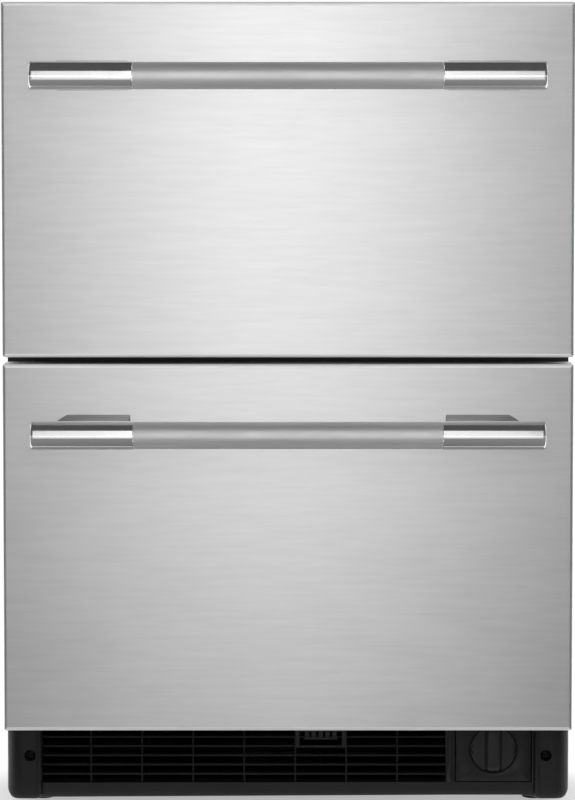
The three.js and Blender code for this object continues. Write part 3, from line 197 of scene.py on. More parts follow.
# Two cards lie in front of the base, a wide dark one and a white one on it below the softbox. Only
# the gloss of the steel shows them.
dark_place = (-8.0, 8.0, fronts_face - 9.0, fronts_face - 0.03, 0.0005)
white_place = (-0.50, 0.46, fronts_face - 1.99, fronts_face - 1.30, 0.0010)
cards = {
    "dark_card": (dark_place, "BsdfDiffuse", {"Color": grey(160)}),
    "white_card": (white_place, "Emission", {"Strength": 0.80}),
}
for name, (place, kind, paint) in cards.items():
    card, tree = level_sheet(name, *place)
    add = maker(tree)
    shade = add(kind, **paint)
    tree.links.new(shade.outputs[0], add("OutputMaterial").inputs[0])
    for ray in ("camera", "diffuse", "transmission", "volume_scatter", "shadow"):
        setattr(card, "visible_" + ray, False)

softbox_side = -0.02
softbox_low, softbox_high = 0.03, 2.25
softboxes = {  # distance from the drawer fronts' face, width, and level, where 1 renders white as 1
    "softbox": (2.0, 0.92, 0.84),
    "softbox_middle": (1.99, 0.36, 1.3),
}
for name, (distance, width, strength) in softboxes.items():
    lamp = bpy.data.lights.new(name, "AREA")
    lamp.shape = "RECTANGLE"
    lamp.size = width
    lamp.size_y = softbox_high - softbox_low
    lamp.energy = strength * math.pi * lamp.size * lamp.size_y
    softbox = bpy.data.objects.new(name, lamp)
    softbox.location = (softbox_side, fronts_face - distance, (softbox_low + softbox_high) / 2)
    softbox.rotation_euler = (math.pi / 2, 0, 0)
    softbox.visible_camera = False
    scene.collection.objects.link(softbox)

# ---------------------------------------------------------------- Steel case
# An outer shell of black powder-coated sheet folded from one piece, open at the front and back,
# with a rail across its mouth. Back, floor and rear cover are plain zinc-coated sheet.


class Finish:
    """A Principled material, and the patterns on the piece's own coordinates that vary it."""

    def __init__(self, name, base, roughness, metallic=0.0, **sockets):
        self.material = bpy.data.materials.new(name)
        self.material.use_nodes = True
        self.tree = self.material.node_tree
        self.shader = self.tree.nodes["Principled BSDF"]
        self.add = maker(self.tree)
        constants = {"Base_Color": base, "Roughness": roughness, "Metallic": metallic, **sockets}
        for socket, value in constants.items():
            self.shader.inputs[socket.replace("_", " ")].default_value = value

    def placed(self, stretch):
        """The piece's own coordinates, stretched by a factor along each axis."""
        coordinates = self.add("TexCoord").outputs["Object"]
        place = self.add("Mapping", {"Vector": coordinates})
        place.inputs["Scale"].default_value = stretch
        return place.outputs[0]

    def noise(self, *stretch, detail=3.0, roughness=0.55):
        """Soft random patches, as many to the metre along each axis as stated."""
        links = {"Vector": self.placed(stretch * 3 if len(stretch) == 1 else stretch)}
        return self.add("TexNoise", links, Scale=1.0, Detail=detail, Roughness=roughness).outputs[0]

    def cells(self, count, output="Distance"):
        """Irregular cells, as many to the metre as stated."""
        links = {"Vector": self.placed((count,) * 3)}
        return self.add("TexVoronoi", links, Scale=1.0).outputs[output]

    def colour(self, source, dark, light, start=0.35, end=0.65):
        """The base colour runs from dark to light with the source."""
        mix = self.add("Mix", {"Factor": ramp(self.add, source, start, end, 0, 1)}, data_type="RGBA")
        mix.inputs[6].default_value = dark
        mix.inputs[7].default_value = light
        self.tree.links.new(mix.outputs[2], self.shader.inputs["Base Color"])

    def gloss(self, source, low, high, start=0.35, end=0.65):
        """The roughness runs from low to high with the source."""
        value = ramp(self.add, source, start, end, low, high)
        self.tree.links.new(value, self.shader.inputs["Roughness"])

    def relief(self, source, depth, strength=1.0):
        """The source stands out of the surface by up to a depth in metres."""
        bump = self.add("Bump", {"Height": source}, Strength=strength, Distance=depth)
        self.tree.links.new(bump.outputs[0], self.shader.inputs["Normal"])


def powder_coat(name, level):
    """Powder paint: a fine orange-peel skin, a little uneven in gloss."""
    coat = Finish(name, grey(level), 0.45, Specular_IOR_Level=0.42)
    coat.colour(coat.noise(4, detail=2), grey(level - 1), grey(level + 1))
    coat.gloss(coat.noise(60, detail=2), 0.44, 0.47)
    coat.relief(coat.noise(650, detail=2), 0.00006, 0.5)
    return coat.material


def zinc_coat(name, dark, light):
    """Zinc-coated sheet: crystals of the coating in slightly different greys and gloss."""
    coat = Finish(name, grey(light), 0.40, 1.0)
    crystals = coat.cells(130, "Color")
    coat.colour(crystals, grey(dark), grey(light), 0.1, 0.9)
    coat.gloss(crystals, 0.38, 0.45, 0.1, 0.9)
    coat.relief(coat.noise(240, detail=4), 0.00003, 0.4)
    return coat.material


def set_in(name, mesh, node, material, sharp):
    """A finished mesh as the piece that stands for a node and rides with it, with the given material.
    Edges that turn by more than the sharp angle stay crisp."""
    mesh.materials.clear()
    mesh.materials.append(material)
    mesh.shade_smooth()
    mesh.set_sharp_from_angle(angle=math.radians(sharp))
    made = bpy.data.objects.new(name, mesh)
    scene.collection.objects.link(made)
    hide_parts(node)
    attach(made, frame["nodes"][node]["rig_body"])
    return made


def rounded(node, edge, material, segments=2, sharp=40):
    """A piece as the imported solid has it, merged. With an edge, its flat faces are joined and its
    sharp edges rounded off by that small radius."""
    mesh = frame["nodes"][node].data.copy()
    mesh.name = node + "_finished"
    work = bmesh.new()
    work.from_mesh(mesh)
    bmesh.ops.remove_doubles(work, verts=work.verts, dist=2e-6)
    if edge:
        bmesh.ops.dissolve_limit(work, angle_limit=0.01, verts=work.verts, edges=work.edges)
    work.to_mesh(mesh)
    work.free()
    made = set_in(mesh.name, mesh, node, material, sharp)
    if edge:
        bevel = made.modifiers.new("edges", "BEVEL")
        bevel.width = edge
        bevel.segments = segments
        bevel.angle_limit = math.radians(sharp)
        bevel.use_clamp_overlap = False
        bevel.harden_normals = True


black_paint = powder_coat("black_powder_coat", 46)
zinc = zinc_coat("zinc_coated_sheet", 166, 182)

rounded("case_shell", 0.0005, black_paint)
rounded("centre_rail", 0.0006, black_paint)
rounded("case_floor", 0.0003, zinc, 1)
for node in ("case_back", "machine_cover"):
    rounded(node, 0, zinc, sharp=6)

# ---------------------------------------------------------------- Rail ears
# A strip of the case's black sheet at each end of the centre rail. It covers the joint between rail
# and liner, so that nothing pale shows in the gap between the drawer fronts. Pressed on.


def outline(half_width, half_height, radius, steps=6):
    """Points of a rectangle with round corners: four quarter circles joined by straight lines."""
    quarter = np.linspace(0, math.pi / 2, steps + 1)
    turn = (np.arange(4)[:, None] * math.pi / 2 - math.pi / 2 + quarter).ravel()
    across = np.repeat([1, 1, -1, -1], steps + 1) * (half_width - radius)
    up = np.repeat([-1, 1, 1, -1], steps + 1) * (half_height - radius)
    return np.stack([across + radius * np.cos(turn), up + radius * np.sin(turn)], axis=-1)


def grid_faces(rows, columns, round_rows=False, round_columns=False, caps=(), first=0):
    """The quads between neighbours of a grid. A round direction closes on itself, and a cap
    closes the first (0) or last (-1) row with one face."""
    i, j = np.meshgrid(
        np.arange(rows if round_rows else rows - 1),
        np.arange(columns if round_columns else columns - 1),
        indexing="ij",
    )
    below, beside = (i + 1) % rows, (j + 1) % columns
    quads = [i * columns + j, i * columns + beside, below * columns + beside, below * columns + j]
    faces = (first + np.stack(quads, axis=-1)).reshape(-1, 4).tolist()
    for cap in caps:
        ring = first + np.arange(columns) + (0 if cap == 0 else (rows - 1) * columns)
        faces.append(ring.tolist())
    return faces


def piece_of(name, vertices, faces, node, material, sharp=35):
    """A mesh of vertices and faces, merged and with its faces outwards, set in for a node."""
    mesh = bpy.data.meshes.new(name)
    mesh.from_pydata(np.asarray(vertices).reshape(-1, 3).tolist(), [], faces)
    work = bmesh.new()
    work.from_mesh(mesh)
    bmesh.ops.remove_doubles(work, verts=work.verts, dist=1e-6)
    bmesh.ops.recalc_face_normals(work, faces=work.faces)
    work.to_mesh(mesh)
    work.free()
    return set_in(name, mesh, node, material, sharp)


def bar(low, high, axis, edge, steps=3):
    """A round-edged rectangle carried along an axis. At both ends it draws in by the quarter circle
    of its edge."""
    low, high = np.array(low, float), np.array(high, float)
    first, second = [i for i in range(3) if i != axis]
    half = (high - low) / 2
    edge = min(edge, half[first] * 0.98, half[second] * 0.98)
    turn = np.linspace(0, math.pi / 2, steps + 1)
    inset = np.concatenate([edge * (1 - np.sin(turn)), edge * (1 - np.sin(turn[::-1]))])
    reach = half[axis] - edge * (1 - np.cos(turn))
    rows = []
    for place, less in zip(np.concatenate([-reach, reach[::-1]]), inset):
        ring = outline(half[first] - less, half[second] - less, edge - less * 0.999, steps)
        row = np.full((len(ring), 3), place)
        row[:, first], row[:, second] = ring.T
        rows.append(row + (low + high) / 2)
    return np.array(rows).reshape(-1, 3), grid_faces(len(rows), len(ring), False, True, (0, -1))


def joined(parts):
    """Several sets of points and faces as one set."""
    starts = np.cumsum([0] + [len(points) for points, _ in parts])
    faces = [[start + i for i in face] for start, (_, own) in zip(starts, parts) for face in own]
    return np.vstack([points for points, _ in parts]), faces


ear_inner, ear_outer = 0.2619, 0.2717
ear_front, ear_back = -0.2190, -0.2184
ear_low, ear_high = 0.4790, 0.4970
ear_round = 0.0002
ears = [
    bar((left, ear_front, ear_low), (right, ear_back, ear_high), 2, ear_round)
    for left, right in ((-ear_outer, -ear_inner), (ear_inner, ear_outer))
]
piece_of("centre_rail_ears", *joined(ears), "centre_rail", black_paint)

# ---------------------------------------------------------------- Insulation and liner
# Rigid foam poured between shell and liner, and the liner itself: white plastic, formed in one
# piece with round corners, with the step over the machine bay.


def moulding(name, colour, roughness, grain=0.00002, shade=0.06, **sockets):
    """Moulded plastic: a fine eroded grain, with a slight drift in shade and gloss."""
    plastic = Finish(name, colour, roughness, **sockets)
    drift = plastic.noise(9, detail=2)
    dark = tuple(channel * (1 - shade) for channel in colour[:3]) + (1,)
    plastic.colour(drift, dark, colour)
    plastic.gloss(plastic.noise(60, detail=4), roughness - 0.05, roughness + 0.06)
    plastic.relief(plastic.noise(1500, detail=2), grain)
    return plastic.material


foam = Finish("rigid_foam", (0.78, 0.69, 0.42, 1), 0.85)
foam.colour(foam.noise(40, detail=5), (0.68, 0.57, 0.31, 1), (0.80, 0.72, 0.46, 1))
foam.relief(foam.cells(420), 0.0009, 0.8)
liner_white = moulding("liner_plastic", (0.78, 0.79, 0.79, 1), 0.30, 0.00001, 0.03)

rounded("insulation", 0, foam.material)
rounded("cabinet_liner", 0.0008, liner_white)

# ---------------------------------------------------------------- Machine bay
# The sealed compressor on its rubber-mounted plate, the tray above it that dries defrost water,
# the black wire-on-tube condenser ahead of it, and the fan in its plate.

black_plastic = moulding("black_moulding", grey(18), 0.46, 0.00003, 0.2, Specular_IOR_Level=0.42)
enamel = Finish("black_enamel", grey(30), 0.30)
enamel.colour(enamel.noise(25), grey(24), grey(34))
enamel.gloss(enamel.noise(45, detail=5), 0.24, 0.40)
enamel.relief(enamel.noise(120, detail=3), 0.0002, 0.5)
# The condenser's own matt black paint; on the base pan the same near-black paints the shade of the
# machine bay seen through the grille.
dark_paint_and_shade = Finish("black_paint_and_bay_shade", grey(9), 0.75, Specular_IOR_Level=0.12)
dark_paint_and_shade.colour(dark_paint_and_shade.noise(40), grey(6), grey(12))
dark_paint_and_shade.relief(dark_paint_and_shade.noise(700), 0.00005, 0.5)

# near-black pan: painted shade of the bay behind the grille
rounded("base_pan", 0.0005, dark_paint_and_shade.material)
rounded("compressor", 0.0008, enamel.material)
rounded("condenser", 0.0004, dark_paint_and_shade.material, 1)
rounded("drain_tray", 0.0005, black_plastic)
rounded("condenser_fan_shroud", 0.0004, black_plastic)
rounded("condenser_fan", 0.0004, black_plastic, 1)
rounded("mains_gland", 0.0006, black_plastic)

# ---------------------------------------------------------------- Cold-air parts
# Behind a white cover with outlet slots: an aluminium evaporator on its tube, and a small fan.

fins = Finish("fin_aluminium", grey(224), 0.30, 1.0)
fins.colour(fins.noise(3, 3, 500), grey(206), grey(228))
fins.relief(fins.noise(4, 4, 900), 0.00003, 0.4)
white_plastic = moulding("white_moulding", (0.80, 0.80, 0.79, 1), 0.38, 0.00002, 0.03)

rounded("evaporator_cover", 0.0006, white_plastic)
rounded("evaporator", 0.0003, fins.material, 1)
rounded("evaporator_fan", 0.0004, white_plastic, 1)

# ---------------------------------------------------------------- Controls and light
# A grey housing under the ceiling with two push buttons, and the ribbed cover of the lamp.

grey_plastic = moulding("grey_moulding", (0.42, 0.44, 0.46, 1), 0.42, 0.00003, 0.06)
lens = Finish("lamp_cover_plastic", (0.90, 0.91, 0.91, 1), 0.22, Transmission_Weight=0.35, IOR=1.49)
ribs = lens.add("TexWave", {"Vector": lens.placed((1, 1, 1))}, Scale=90.0)
lens.gloss(lens.noise(50), 0.18, 0.28)
lens.relief(ribs.outputs["Fac"], 0.0005, 0.8)

rounded("control_housing", 0.0008, grey_plastic)
rounded("colder_button", 0.0004, white_plastic)
rounded("warmer_button", 0.0004, white_plastic)
rounded("light_cover", 0.0006, lens.material)

# ---------------------------------------------------------------- Slides, drawer frames and bins
# Telescopic slides and folded frames of bright zinc-plated sheet. Each frame carries a lift-out bin of
# clear grey plastic on its ledges. The lower bin is stepped over the machine bay.

bright_zinc = Finish("bright_zinc_plate", grey(198), 0.30, 1.0)
bright_zinc.colour(bright_zinc.noise(60, 3, 60, detail=3), grey(190), grey(204))
bright_zinc.gloss(bright_zinc.noise(500, 6, 500, detail=3), 0.26, 0.36)
bright_zinc.relief(bright_zinc.noise(900, 8, 900, detail=2), 0.00002, 0.4)
slide_zinc = bright_zinc.material
clear_grey = Finish(
    "clear_grey_plastic", (0.70, 0.73, 0.75, 1), 0.14, Transmission_Weight=0.62, IOR=1.49
)
clear_grey.colour(clear_grey.noise(5), (0.66, 0.70, 0.72, 1), (0.73, 0.76, 0.78, 1))
clear_grey.gloss(clear_grey.noise(30, detail=4), 0.10, 0.20)
clear_grey.relief(clear_grey.noise(14, detail=2), 0.0006, 0.5)

for level in ("upper", "lower"):
    for side in ("left", "right"):
        rounded(f"{level}_fixed_slide_{side}", 0.0004, slide_zinc, 1)
        rounded(f"{level}_middle_slide_{side}", 0.0004, slide_zinc, 1)
    rounded(f"{level}_drawer_frame", 0.0004, slide_zinc, 1)
    rounded(f"{level}_bin", 0.0008, clear_grey.material)

# ---------------------------------------------------------------- Inner panels and gaskets
# A white moulded panel closes the back of each front, and a grey rubber gasket runs round it:
# a foot that grips the panel, a thin waist, and a flat pad with the magnet strip inside.


def softened(points, times=2):
    """A closed outline with its corners cut: each side keeps its points at a quarter and at three
    quarters, and this is done a number of times."""
    points = np.asarray(points, float)
    for _ in range(times):
        ahead = np.roll(points, -1, axis=0)
        points = np.stack([0.75 * points + 0.25 * ahead, 0.25 * points + 0.75 * ahead], axis=1)
        points = points.reshape(-1, 2)
    return points


rubber = Finish("gasket_rubber", grey(138), 0.62)
rubber.colour(rubber.noise(20, detail=4), grey(126), grey(142))
rubber.relief(rubber.noise(900, detail=2), 0.00003, 0.6)
gasket_corner, tightest_corner = 0.008, 0.002
gasket_width = 0.014
gasket_profile = np.array(  # across from its outer edge, and from the case to the door, in shares
    [(0.08, 0), (0.92, 0), (0.96, 0.36), (0.70, 0.44), (0.66, 0.62), (0.88, 0.72), (0.90, 1)]
    + [(0.10, 1), (0.12, 0.72), (0.34, 0.62), (0.30, 0.44), (0.04, 0.36)]
)

for level in ("upper", "lower"):
    rounded(f"{level}_inner_panel", 0.0008, liner_white)
    low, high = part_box(f"{level}_gasket")
    middle = (low.z + high.z) / 2
    rings = []
    for across, along in softened(gasket_profile) * (gasket_width, low.y - high.y):
        corner = max(gasket_corner - across, tightest_corner)
        ring = outline((high.x - low.x) / 2 - across, (high.z - low.z) / 2 - across, corner)
        depth = np.full(len(ring), high.y + along)
        rings.append(np.column_stack([ring[:, 0], depth, middle + ring[:, 1]]))
    rings = np.array(rings)
    faces = grid_faces(*rings.shape[:2], True, True)
    piece_of(f"{level}_gasket_finished", rings, faces, f"{level}_gasket", rubber.material)

# ---------------------------------------------------------------- Stainless drawer fronts
# Each front is one sheet of stainless steel, brushed across, folded back on four sides round
# a small bend and hemmed behind, where the moulded inner panel clips in.

sheet_thickness = 0.0012
bend_radius = 0.003
highlight_strip = 0.0010  # beside the bends above and below, a paler strip: with those bends, a painted highlight of the light rims on the edges
hem_width = 0.009
front_corner, tightest_fold = 0.8, 0.0004  # the corner's radius as a share of the bend's, and its least


def brushed_stainless():
    """Steel brushed across: fine scratches and cloudy patches in shade and roughness, and a
    gloss that spreads up and down, across the scratches."""
    steel = Finish(
        "brushed_stainless", grey(204), 0.40, 1.0, Anisotropic=0.78, Anisotropic_Rotation=0.25
    )
    clouds = steel.noise(8, 8, 13, detail=5, roughness=0.6)
    streaks = steel.noise(17, 17, 230, detail=3)
    both = steel.add("Mix", {2: clouds, 3: streaks}, data_type="FLOAT")
    both.inputs["Factor"].default_value = 0.4
    steel.colour(both.outputs[0], grey(217), grey(227), 0.3, 0.7)
    steel.gloss(clouds, 0.39, 0.41, 0.3, 0.7)
    steel.relief(steel.noise(6, 6, 900, roughness=0.7), 0.00002, 0.07)
    tangent = steel.add("Tangent", direction_type="UV_MAP", uv_map="sheet")
    steel.tree.links.new(tangent.outputs[0], steel.shader.inputs["Tangent"])
    return steel.material


def sheet_map(mesh, middle, face):
    """Unfolds the sheet into a UV map: across by X, and on the folded sides onwards by depth."""
    places = np.empty(len(mesh.vertices) * 3)
    mesh.vertices.foreach_get("co", places)
    x, y, z = places.reshape(-1, 3).T
    side = np.clip((np.abs(x) - (np.abs(x).max() - bend_radius)) / bend_radius, 0, 1)
    u = x + np.sign(x) * (y - face) * side
    v = z + np.sign(z - middle) * (y - face) * (1 - side)
    corner = np.empty(len(mesh.loops), dtype=np.int32)
    mesh.loops.foreach_get("vertex_index", corner)
    layer = mesh.uv_layers.new(name="sheet")
    layer.data.foreach_set("uv", np.stack([u, v], axis=-1)[corner].ravel())


def drawer_front(level):
    """Outlines of the front stacked in depth: face, highlight strip, quarter-round bend, side, hem. The
    strips and bends above and below, mitred at the corners, are of a paler, less metallic steel: a
    painted highlight of the light rims on those edges."""
    low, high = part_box(f"{level}_front_skin")
    half_width, half_height = (high.x - low.x) / 2, (high.z - low.z) / 2
    middle = (high.z + low.z) / 2
    turn = np.linspace(0, math.pi / 2, 7)
    flat = bend_radius + highlight_strip
    inset = np.concatenate([[flat], bend_radius * (1 - np.sin(turn)), [0.0, hem_width]])
    depth = np.concatenate([[0], bend_radius * (1 - np.cos(turn)), [high.y - low.y] * 2])
    rings = []
    for move, back in zip(inset, depth):
        corner = max(bend_radius * front_corner - move, tightest_fold)
        ring = outline(half_width - move, half_height - move, corner)
        rings.append(np.column_stack([ring[:, 0], np.full(len(ring), low.y + back), middle + ring[:, 1]]))
    rings = np.array(rings)
    faces = grid_faces(*rings.shape[:2], False, True, (0,))
    front = piece_of(f"{level}_front_finished", rings, faces, f"{level}_front_skin", stainless, 50)
    sheet_map(front.data, middle, low.y)
    front.data.materials.append(edge_highlight_steel.material)
    centres = np.empty(len(front.data.polygons) * 3)
    front.data.polygons.foreach_get("center", centres)
    across, deep, height = centres.reshape(-1, 3).T
    from_side, from_end = half_width - np.abs(across), half_height - np.abs(height - middle)
    hair = 0.0001  # less than any face's width
    in_bend = deep < low.y + bend_radius - hair
    # the faces of the painted highlight: strips and bends above and below, mitred at the corners
    painted_highlight = in_bend & (from_end < flat - hair) & (from_end < from_side)
    front.data.polygons.foreach_set("material_index", painted_highlight.astype(int))
    wall = front.modifiers.new("sheet", "SOLIDIFY")
    wall.thickness = sheet_thickness
    wall.offset = -1


stainless = brushed_stainless()
# A paler, less metallic steel on the top and bottom edges of the fronts: a painted highlight of the light
# rims their bends catch.
edge_highlight_steel = Finish("edge_highlight_steel", grey(246), 0.45, 0.35)
edge_highlight_steel.gloss(edge_highlight_steel.noise(40, 400, 400), 0.40, 0.50)
edge_highlight_steel.relief(edge_highlight_steel.noise(60, 1500, 1500), 0.00002, 0.3)
for level in ("upper", "lower"):
    drawer_front(level)

# ---------------------------------------------------------------- Handles
# A satin stainless tube, capped at each end by a long polished ferrule that is turned from bar,
# and held off the front by two cast brackets whose seats fit round the ferrules.

polished = Finish("polished_steel", grey(238), 0.12, 1.0)
polished.gloss(polished.noise(50, detail=5), 0.10, 0.15)
polished.relief(polished.noise(500, 20, 20), 0.00001, 0.3)
satin = Finish("satin_steel", grey(220), 0.46, 0.72)
satin.colour(satin.noise(14, 300, 300, detail=4), grey(216), grey(224))
satin.gloss(satin.noise(20, 60, 60, detail=4), 0.43, 0.49)
satin.relief(satin.noise(30, 1500, 1500), 0.00003, 0.25)
cast = Finish("cast_steel", grey(158), 0.45, 1.0)
cast.colour(cast.noise(40, detail=4), grey(150), grey(164))
cast.relief(cast.noise(500, detail=3), 0.00005, 0.4)

ferrule_chamfer = 0.0006
ferrule_round = 0.0026  # the turned edge at the outer end
ferrule_crown = 0.0010  # the outer end face stands out this much in its middle
last_ring = 0.001  # a ring this far before the round edge keeps the barrel's shading straight
spigot_length = 0.016
tube_shorter = 0.002  # the tube ends where the ferrule's barrel begins
tube_wall = 0.002
bracket_round = 0.0012
eased = [(0, 1), (0.3, 0.3), (1, 0)]  # an edge of radius 1, drawn round by a point between its ends
bracket_flare = {"upper": -0.03, "lower": 0.16}  # how much taller its foot is than its nose
flare_reach = 0.625  # the foot is flared over this share of the way from the door to the seat
bracket_slant = 0.008  # how much shorter it is at the door than at its nose, at the outer end
seat_half_angle = math.radians(68)  # the seat runs round the ferrule by this much up and down
seat_gap = 0.0003


def round_form(profile, centre, axis, sides=96, caps=(0, -1)):
    """A profile of places along an axis and radii, turned round the axis through a centre. A radius
    is one number, or one for each angle. Without caps the profile closes on itself."""
    turn = np.linspace(0, 2 * math.pi, sides, endpoint=False)
    radius = np.array([r * np.ones(sides) for _, r in profile])
    first, second = [i for i in range(3) if i != axis]
    points = np.zeros((len(profile), sides, 3))
    points[..., axis] = np.array([place for place, _ in profile])[:, None]
    points[..., first] = centre[first] + radius * np.cos(turn)
    points[..., second] = centre[second] + radius * np.sin(turn)
    return points.reshape(-1, 3), grid_faces(len(profile), sides, not caps, True, caps)


def handle_piece(name, form, node, finish):
    """A piece of a handle. The fronts don't mirror it, as they don't in the photograph."""
    piece = piece_of(name, *form, node, finish.material)
    piece.visible_glossy = False


def ferrule(level, side, centre):
    """From the middle of the handle outwards: spigot in the tube, chamfer, barrel, round edge,
    crowned end."""
    low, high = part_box(f"{level}_handle_ferrule_{side}")
    sign = 1 if side == "right" else -1
    inner, outer = sorted((abs(low.x), abs(high.x)))
    inner += spigot_length
    radius = (high.z - low.z) / 2
    spigot = radius - ferrule_chamfer - tube_wall - seat_gap
    turn = np.linspace(0, math.pi / 2, 9)
    edge = outer - ferrule_crown - ferrule_round
    crown = np.linspace(1, 0.02, 12)
    profile = [(inner - spigot_length, spigot), (inner, spigot), (inner, radius - ferrule_chamfer)]
    profile += [(inner + ferrule_chamfer, radius), (edge - last_ring, radius)]
    profile += [
        (edge + ferrule_round * math.sin(t), radius - ferrule_round * (1 - math.cos(t))) for t in turn
    ]
    flat = radius - ferrule_round
    profile += [(outer - ferrule_crown * share**2, flat * share) for share in crown[1:]]
    profile = [(sign * place, r) for place, r in profile]
    form = round_form(profile, centre, 0)
    handle_piece(f"{level}_ferrule_{side}", form, f"{level}_handle_ferrule_{side}", polished)


def bracket(level, side, centre, seat):
    """The section in depth and height is a bar with a round seat in front. It runs along the
    handle, and its outer end slants inwards to the door. Its ends and edges are rounded."""
    low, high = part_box(f"{level}_handle_bracket_{side}")
    sign = 1 if side == "right" else -1
    inner, outer = sorted((abs(low.x), abs(high.x)))
    door, half = high.y, (high.z - low.z) / 2
    around = np.linspace(seat_half_angle, -seat_half_angle, 25)
    hollow = np.column_stack([centre[1] + seat * np.cos(around), seat * np.sin(around)])
    nose = hollow[0, 0]
    corner = bracket_round * np.array(eased)
    top = np.vstack([np.column_stack([door - corner[:, 0], half - corner[:, 1]]), [(nose, half)]])
    bottom = top[::-1] * (1, -1)
    section = np.vstack([top, hollow, bottom])
    middle = section.mean(axis=0)
    rows = []
    for way in (1, -1):  # the inner end outwards, then the outer end up to its face
        for step, less in bracket_round * np.array(eased[::way]):
            ring = middle + (section - middle) * (1 - less / half)
            slant = (door - ring[:, 0]) / (door - centre[1])
            end = outer - bracket_slant * (1 - np.clip(slant, 0, 1)) ** 1.5
            place = inner + step + 0 * slant if way == 1 else end - step
            height = ring[:, 1] * (1 + bracket_flare[level] * np.clip(1 - slant / flare_reach, 0, 1))
            rows.append(np.column_stack([sign * place, ring[:, 0], centre[2] + height]))
    rows = np.array(rows)
    form = rows, grid_faces(*rows.shape[:2], False, True, (0, -1))
    handle_piece(f"{level}_bracket_{side}", form, f"{level}_handle_bracket_{side}", cast)


for level in ("upper", "lower"):
    low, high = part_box(f"{level}_handle_bar")
    centre = (0, (low.y + high.y) / 2, (low.z + high.z) / 2)
    radius, half = (high.z - low.z) / 2, high.x - tube_shorter
    tube = [(-half, radius - tube_wall), (-half, radius), (half, radius), (half, radius - tube_wall)]
    handle_piece(f"{level}_bar", round_form(tube, centre, 0), f"{level}_handle_bar", satin)
    low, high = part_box(f"{level}_handle_ferrule_left")
    for side in ("left", "right"):
        ferrule(level, side, centre)
        bracket(level, side, centre, (high.z - low.z) / 2 + seat_gap)

# ---------------------------------------------------------------- Base
# One black moulding screwed to the case under the lower drawer: two corner posts with round
# fronts, and between them a face with a vent, an opening for the access panel, and folded edges.

low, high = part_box("base_grille")
base_half, post_front, base_back = high.x, low.y, high.y
base_low, base_high = low.z, high.z
post_inside = 0.264
post_outer_round, post_inner_round = 0.016, 0.009
base_face = post_front + post_inner_round
base_edge_round, base_top_round = 0.0045, 0.0010
base_flange = 0.008
post_corner, post_sag = 0.009, 0.0023  # the posts' round lower corners hang a little below the face
sag_lead, sag_width = 0.004, 0.006  # it starts this far before a post's inner side, over this width
post_fade = 0.040  # up to here their lower end is drawn out of the straight post
post_rows = [0.0225, 0.0255]  # more rows of points for it
base_wall = 0.0022
vent_left, vent_right, vent_low, vent_high = -post_inside, 0.1695, 0.0300, 0.0875
panel_low, panel_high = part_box("access_panel")
access_gap = 0.0008
access_top = 0.0880
cap_low, cap_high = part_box("access_cap")
knob_x, knob_z = (cap_low.x + cap_high.x) / 2, (cap_low.z + cap_high.z) / 2
sleeve_radius = 0.0260
screw_x, screw_z = 0.277, 0.0605
screw_patch = 0.0084  # half the square of the grid that gives way to a screw's pocket
# The pocket of a screw: radii, and depths behind the front of the post.
pocket = [(0.0066, 0.0), (0.0061, 0.0005), (0.0060, 0.0012), (0.0058, 0.0222), (0.0024, 0.0224)]


def black_moulding(name, level, roughness=0.42, specular=0.36, grain=1100):
    """Black plastic as it comes from the mould, with a fine eroded grain."""
    plastic = Finish(name, grey(level), roughness, Specular_IOR_Level=specular)
    plastic.relief(plastic.noise(grain, detail=2), 0.00004, 0.5)
    return plastic


def base_plan(steps=8):
    """The plan of the base's front from its left end to its right end: side, large quarter circle,
    the post's front, small quarter circle, the face, and the same mirrored."""
    turn = np.linspace(0, math.pi / 2, steps + 1)[:, None]
    curve = np.hstack([np.sin(turn), np.cos(turn)])
    big, small = post_outer_round, post_inner_round
    outer = np.array([base_half - big, post_front + big]) + big * curve[::-1] * (1, -1)
    inner = np.array([post_inside + small, post_front + small]) - small * curve
    right = np.vstack([[(base_half, base_back)], outer, inner])
    return np.vstack([right * (-1, 1), right[::-1]])


def mitred(path):
    """At each point of a path, the step to its inner side that keeps both neighbours parallel."""
    side = np.diff(path, axis=0)
    side /= np.linalg.norm(side, axis=1, keepdims=True)
    normal = np.column_stack([-side[:, 1], side[:, 0]])
    before, after = np.vstack([normal[:1], normal]), np.vstack([normal, normal[-1:]])
    return (before + after) / (1 + (before * after).sum(axis=1, keepdims=True))


def wrapped(path, along, across, rows):
    """Points of a skin on a path: columns at lengths along the path, rows of inset and height."""
    step = mitred(path)
    place = np.column_stack([np.interp(across, along, path[:, i]) for i in (0, 1)])
    inward = np.column_stack([np.interp(across, along, step[:, i]) for i in (0, 1)])
    inset, height = np.array(rows).T[:, :, None, None]
    plan = place + inset * inward
    return np.concatenate([plan, np.broadcast_to(height, plan.shape[:2] + (1,))], axis=-1)


def pierced(points, keep, windows, profile):
    """The faces of a grid where keep is true. In each window the ring of grid points round it runs
    inwards to a circle about the window's middle, and then back along the hole's profile."""
    rows, columns = points.shape[:2]
    vertices, faces, count = [points.reshape(-1, 3)], [], rows * columns
    for bottom, top, left, right in windows:
        keep[bottom:top, left:right] = False
        ring = [(bottom, j) for j in range(left, right)] + [(i, right) for i in range(bottom, top)]
        ring += [(top, j) for j in range(right, left, -1)] + [(i, left) for i in range(top, bottom, -1)]
        edge = points[tuple(np.array(ring).T)]
        centre = (edge.min(axis=0) + edge.max(axis=0)) / 2
        centre[1] = edge[:, 1].min()
        spoke = (edge - centre) * (1, 0, 1)
        spoke /= np.linalg.norm(spoke, axis=1, keepdims=True)
        rim = centre + spoke * profile[0][0]
        hole = [edge * (1 - share) + rim * share for share in (0, 0.4, 0.75, 1)]
        hole += [centre + spoke * radius + np.array([0, depth, 0]) for radius, depth in profile[1:]]
        faces += grid_faces(len(hole), len(ring), False, True, first=count)
        vertices.append(np.array(hole).reshape(-1, 3))
        count += len(hole) * len(ring)
    quads = np.array(grid_faces(rows, columns)).reshape(rows - 1, columns - 1, 4)
    return np.vstack(vertices), quads[keep].tolist() + faces


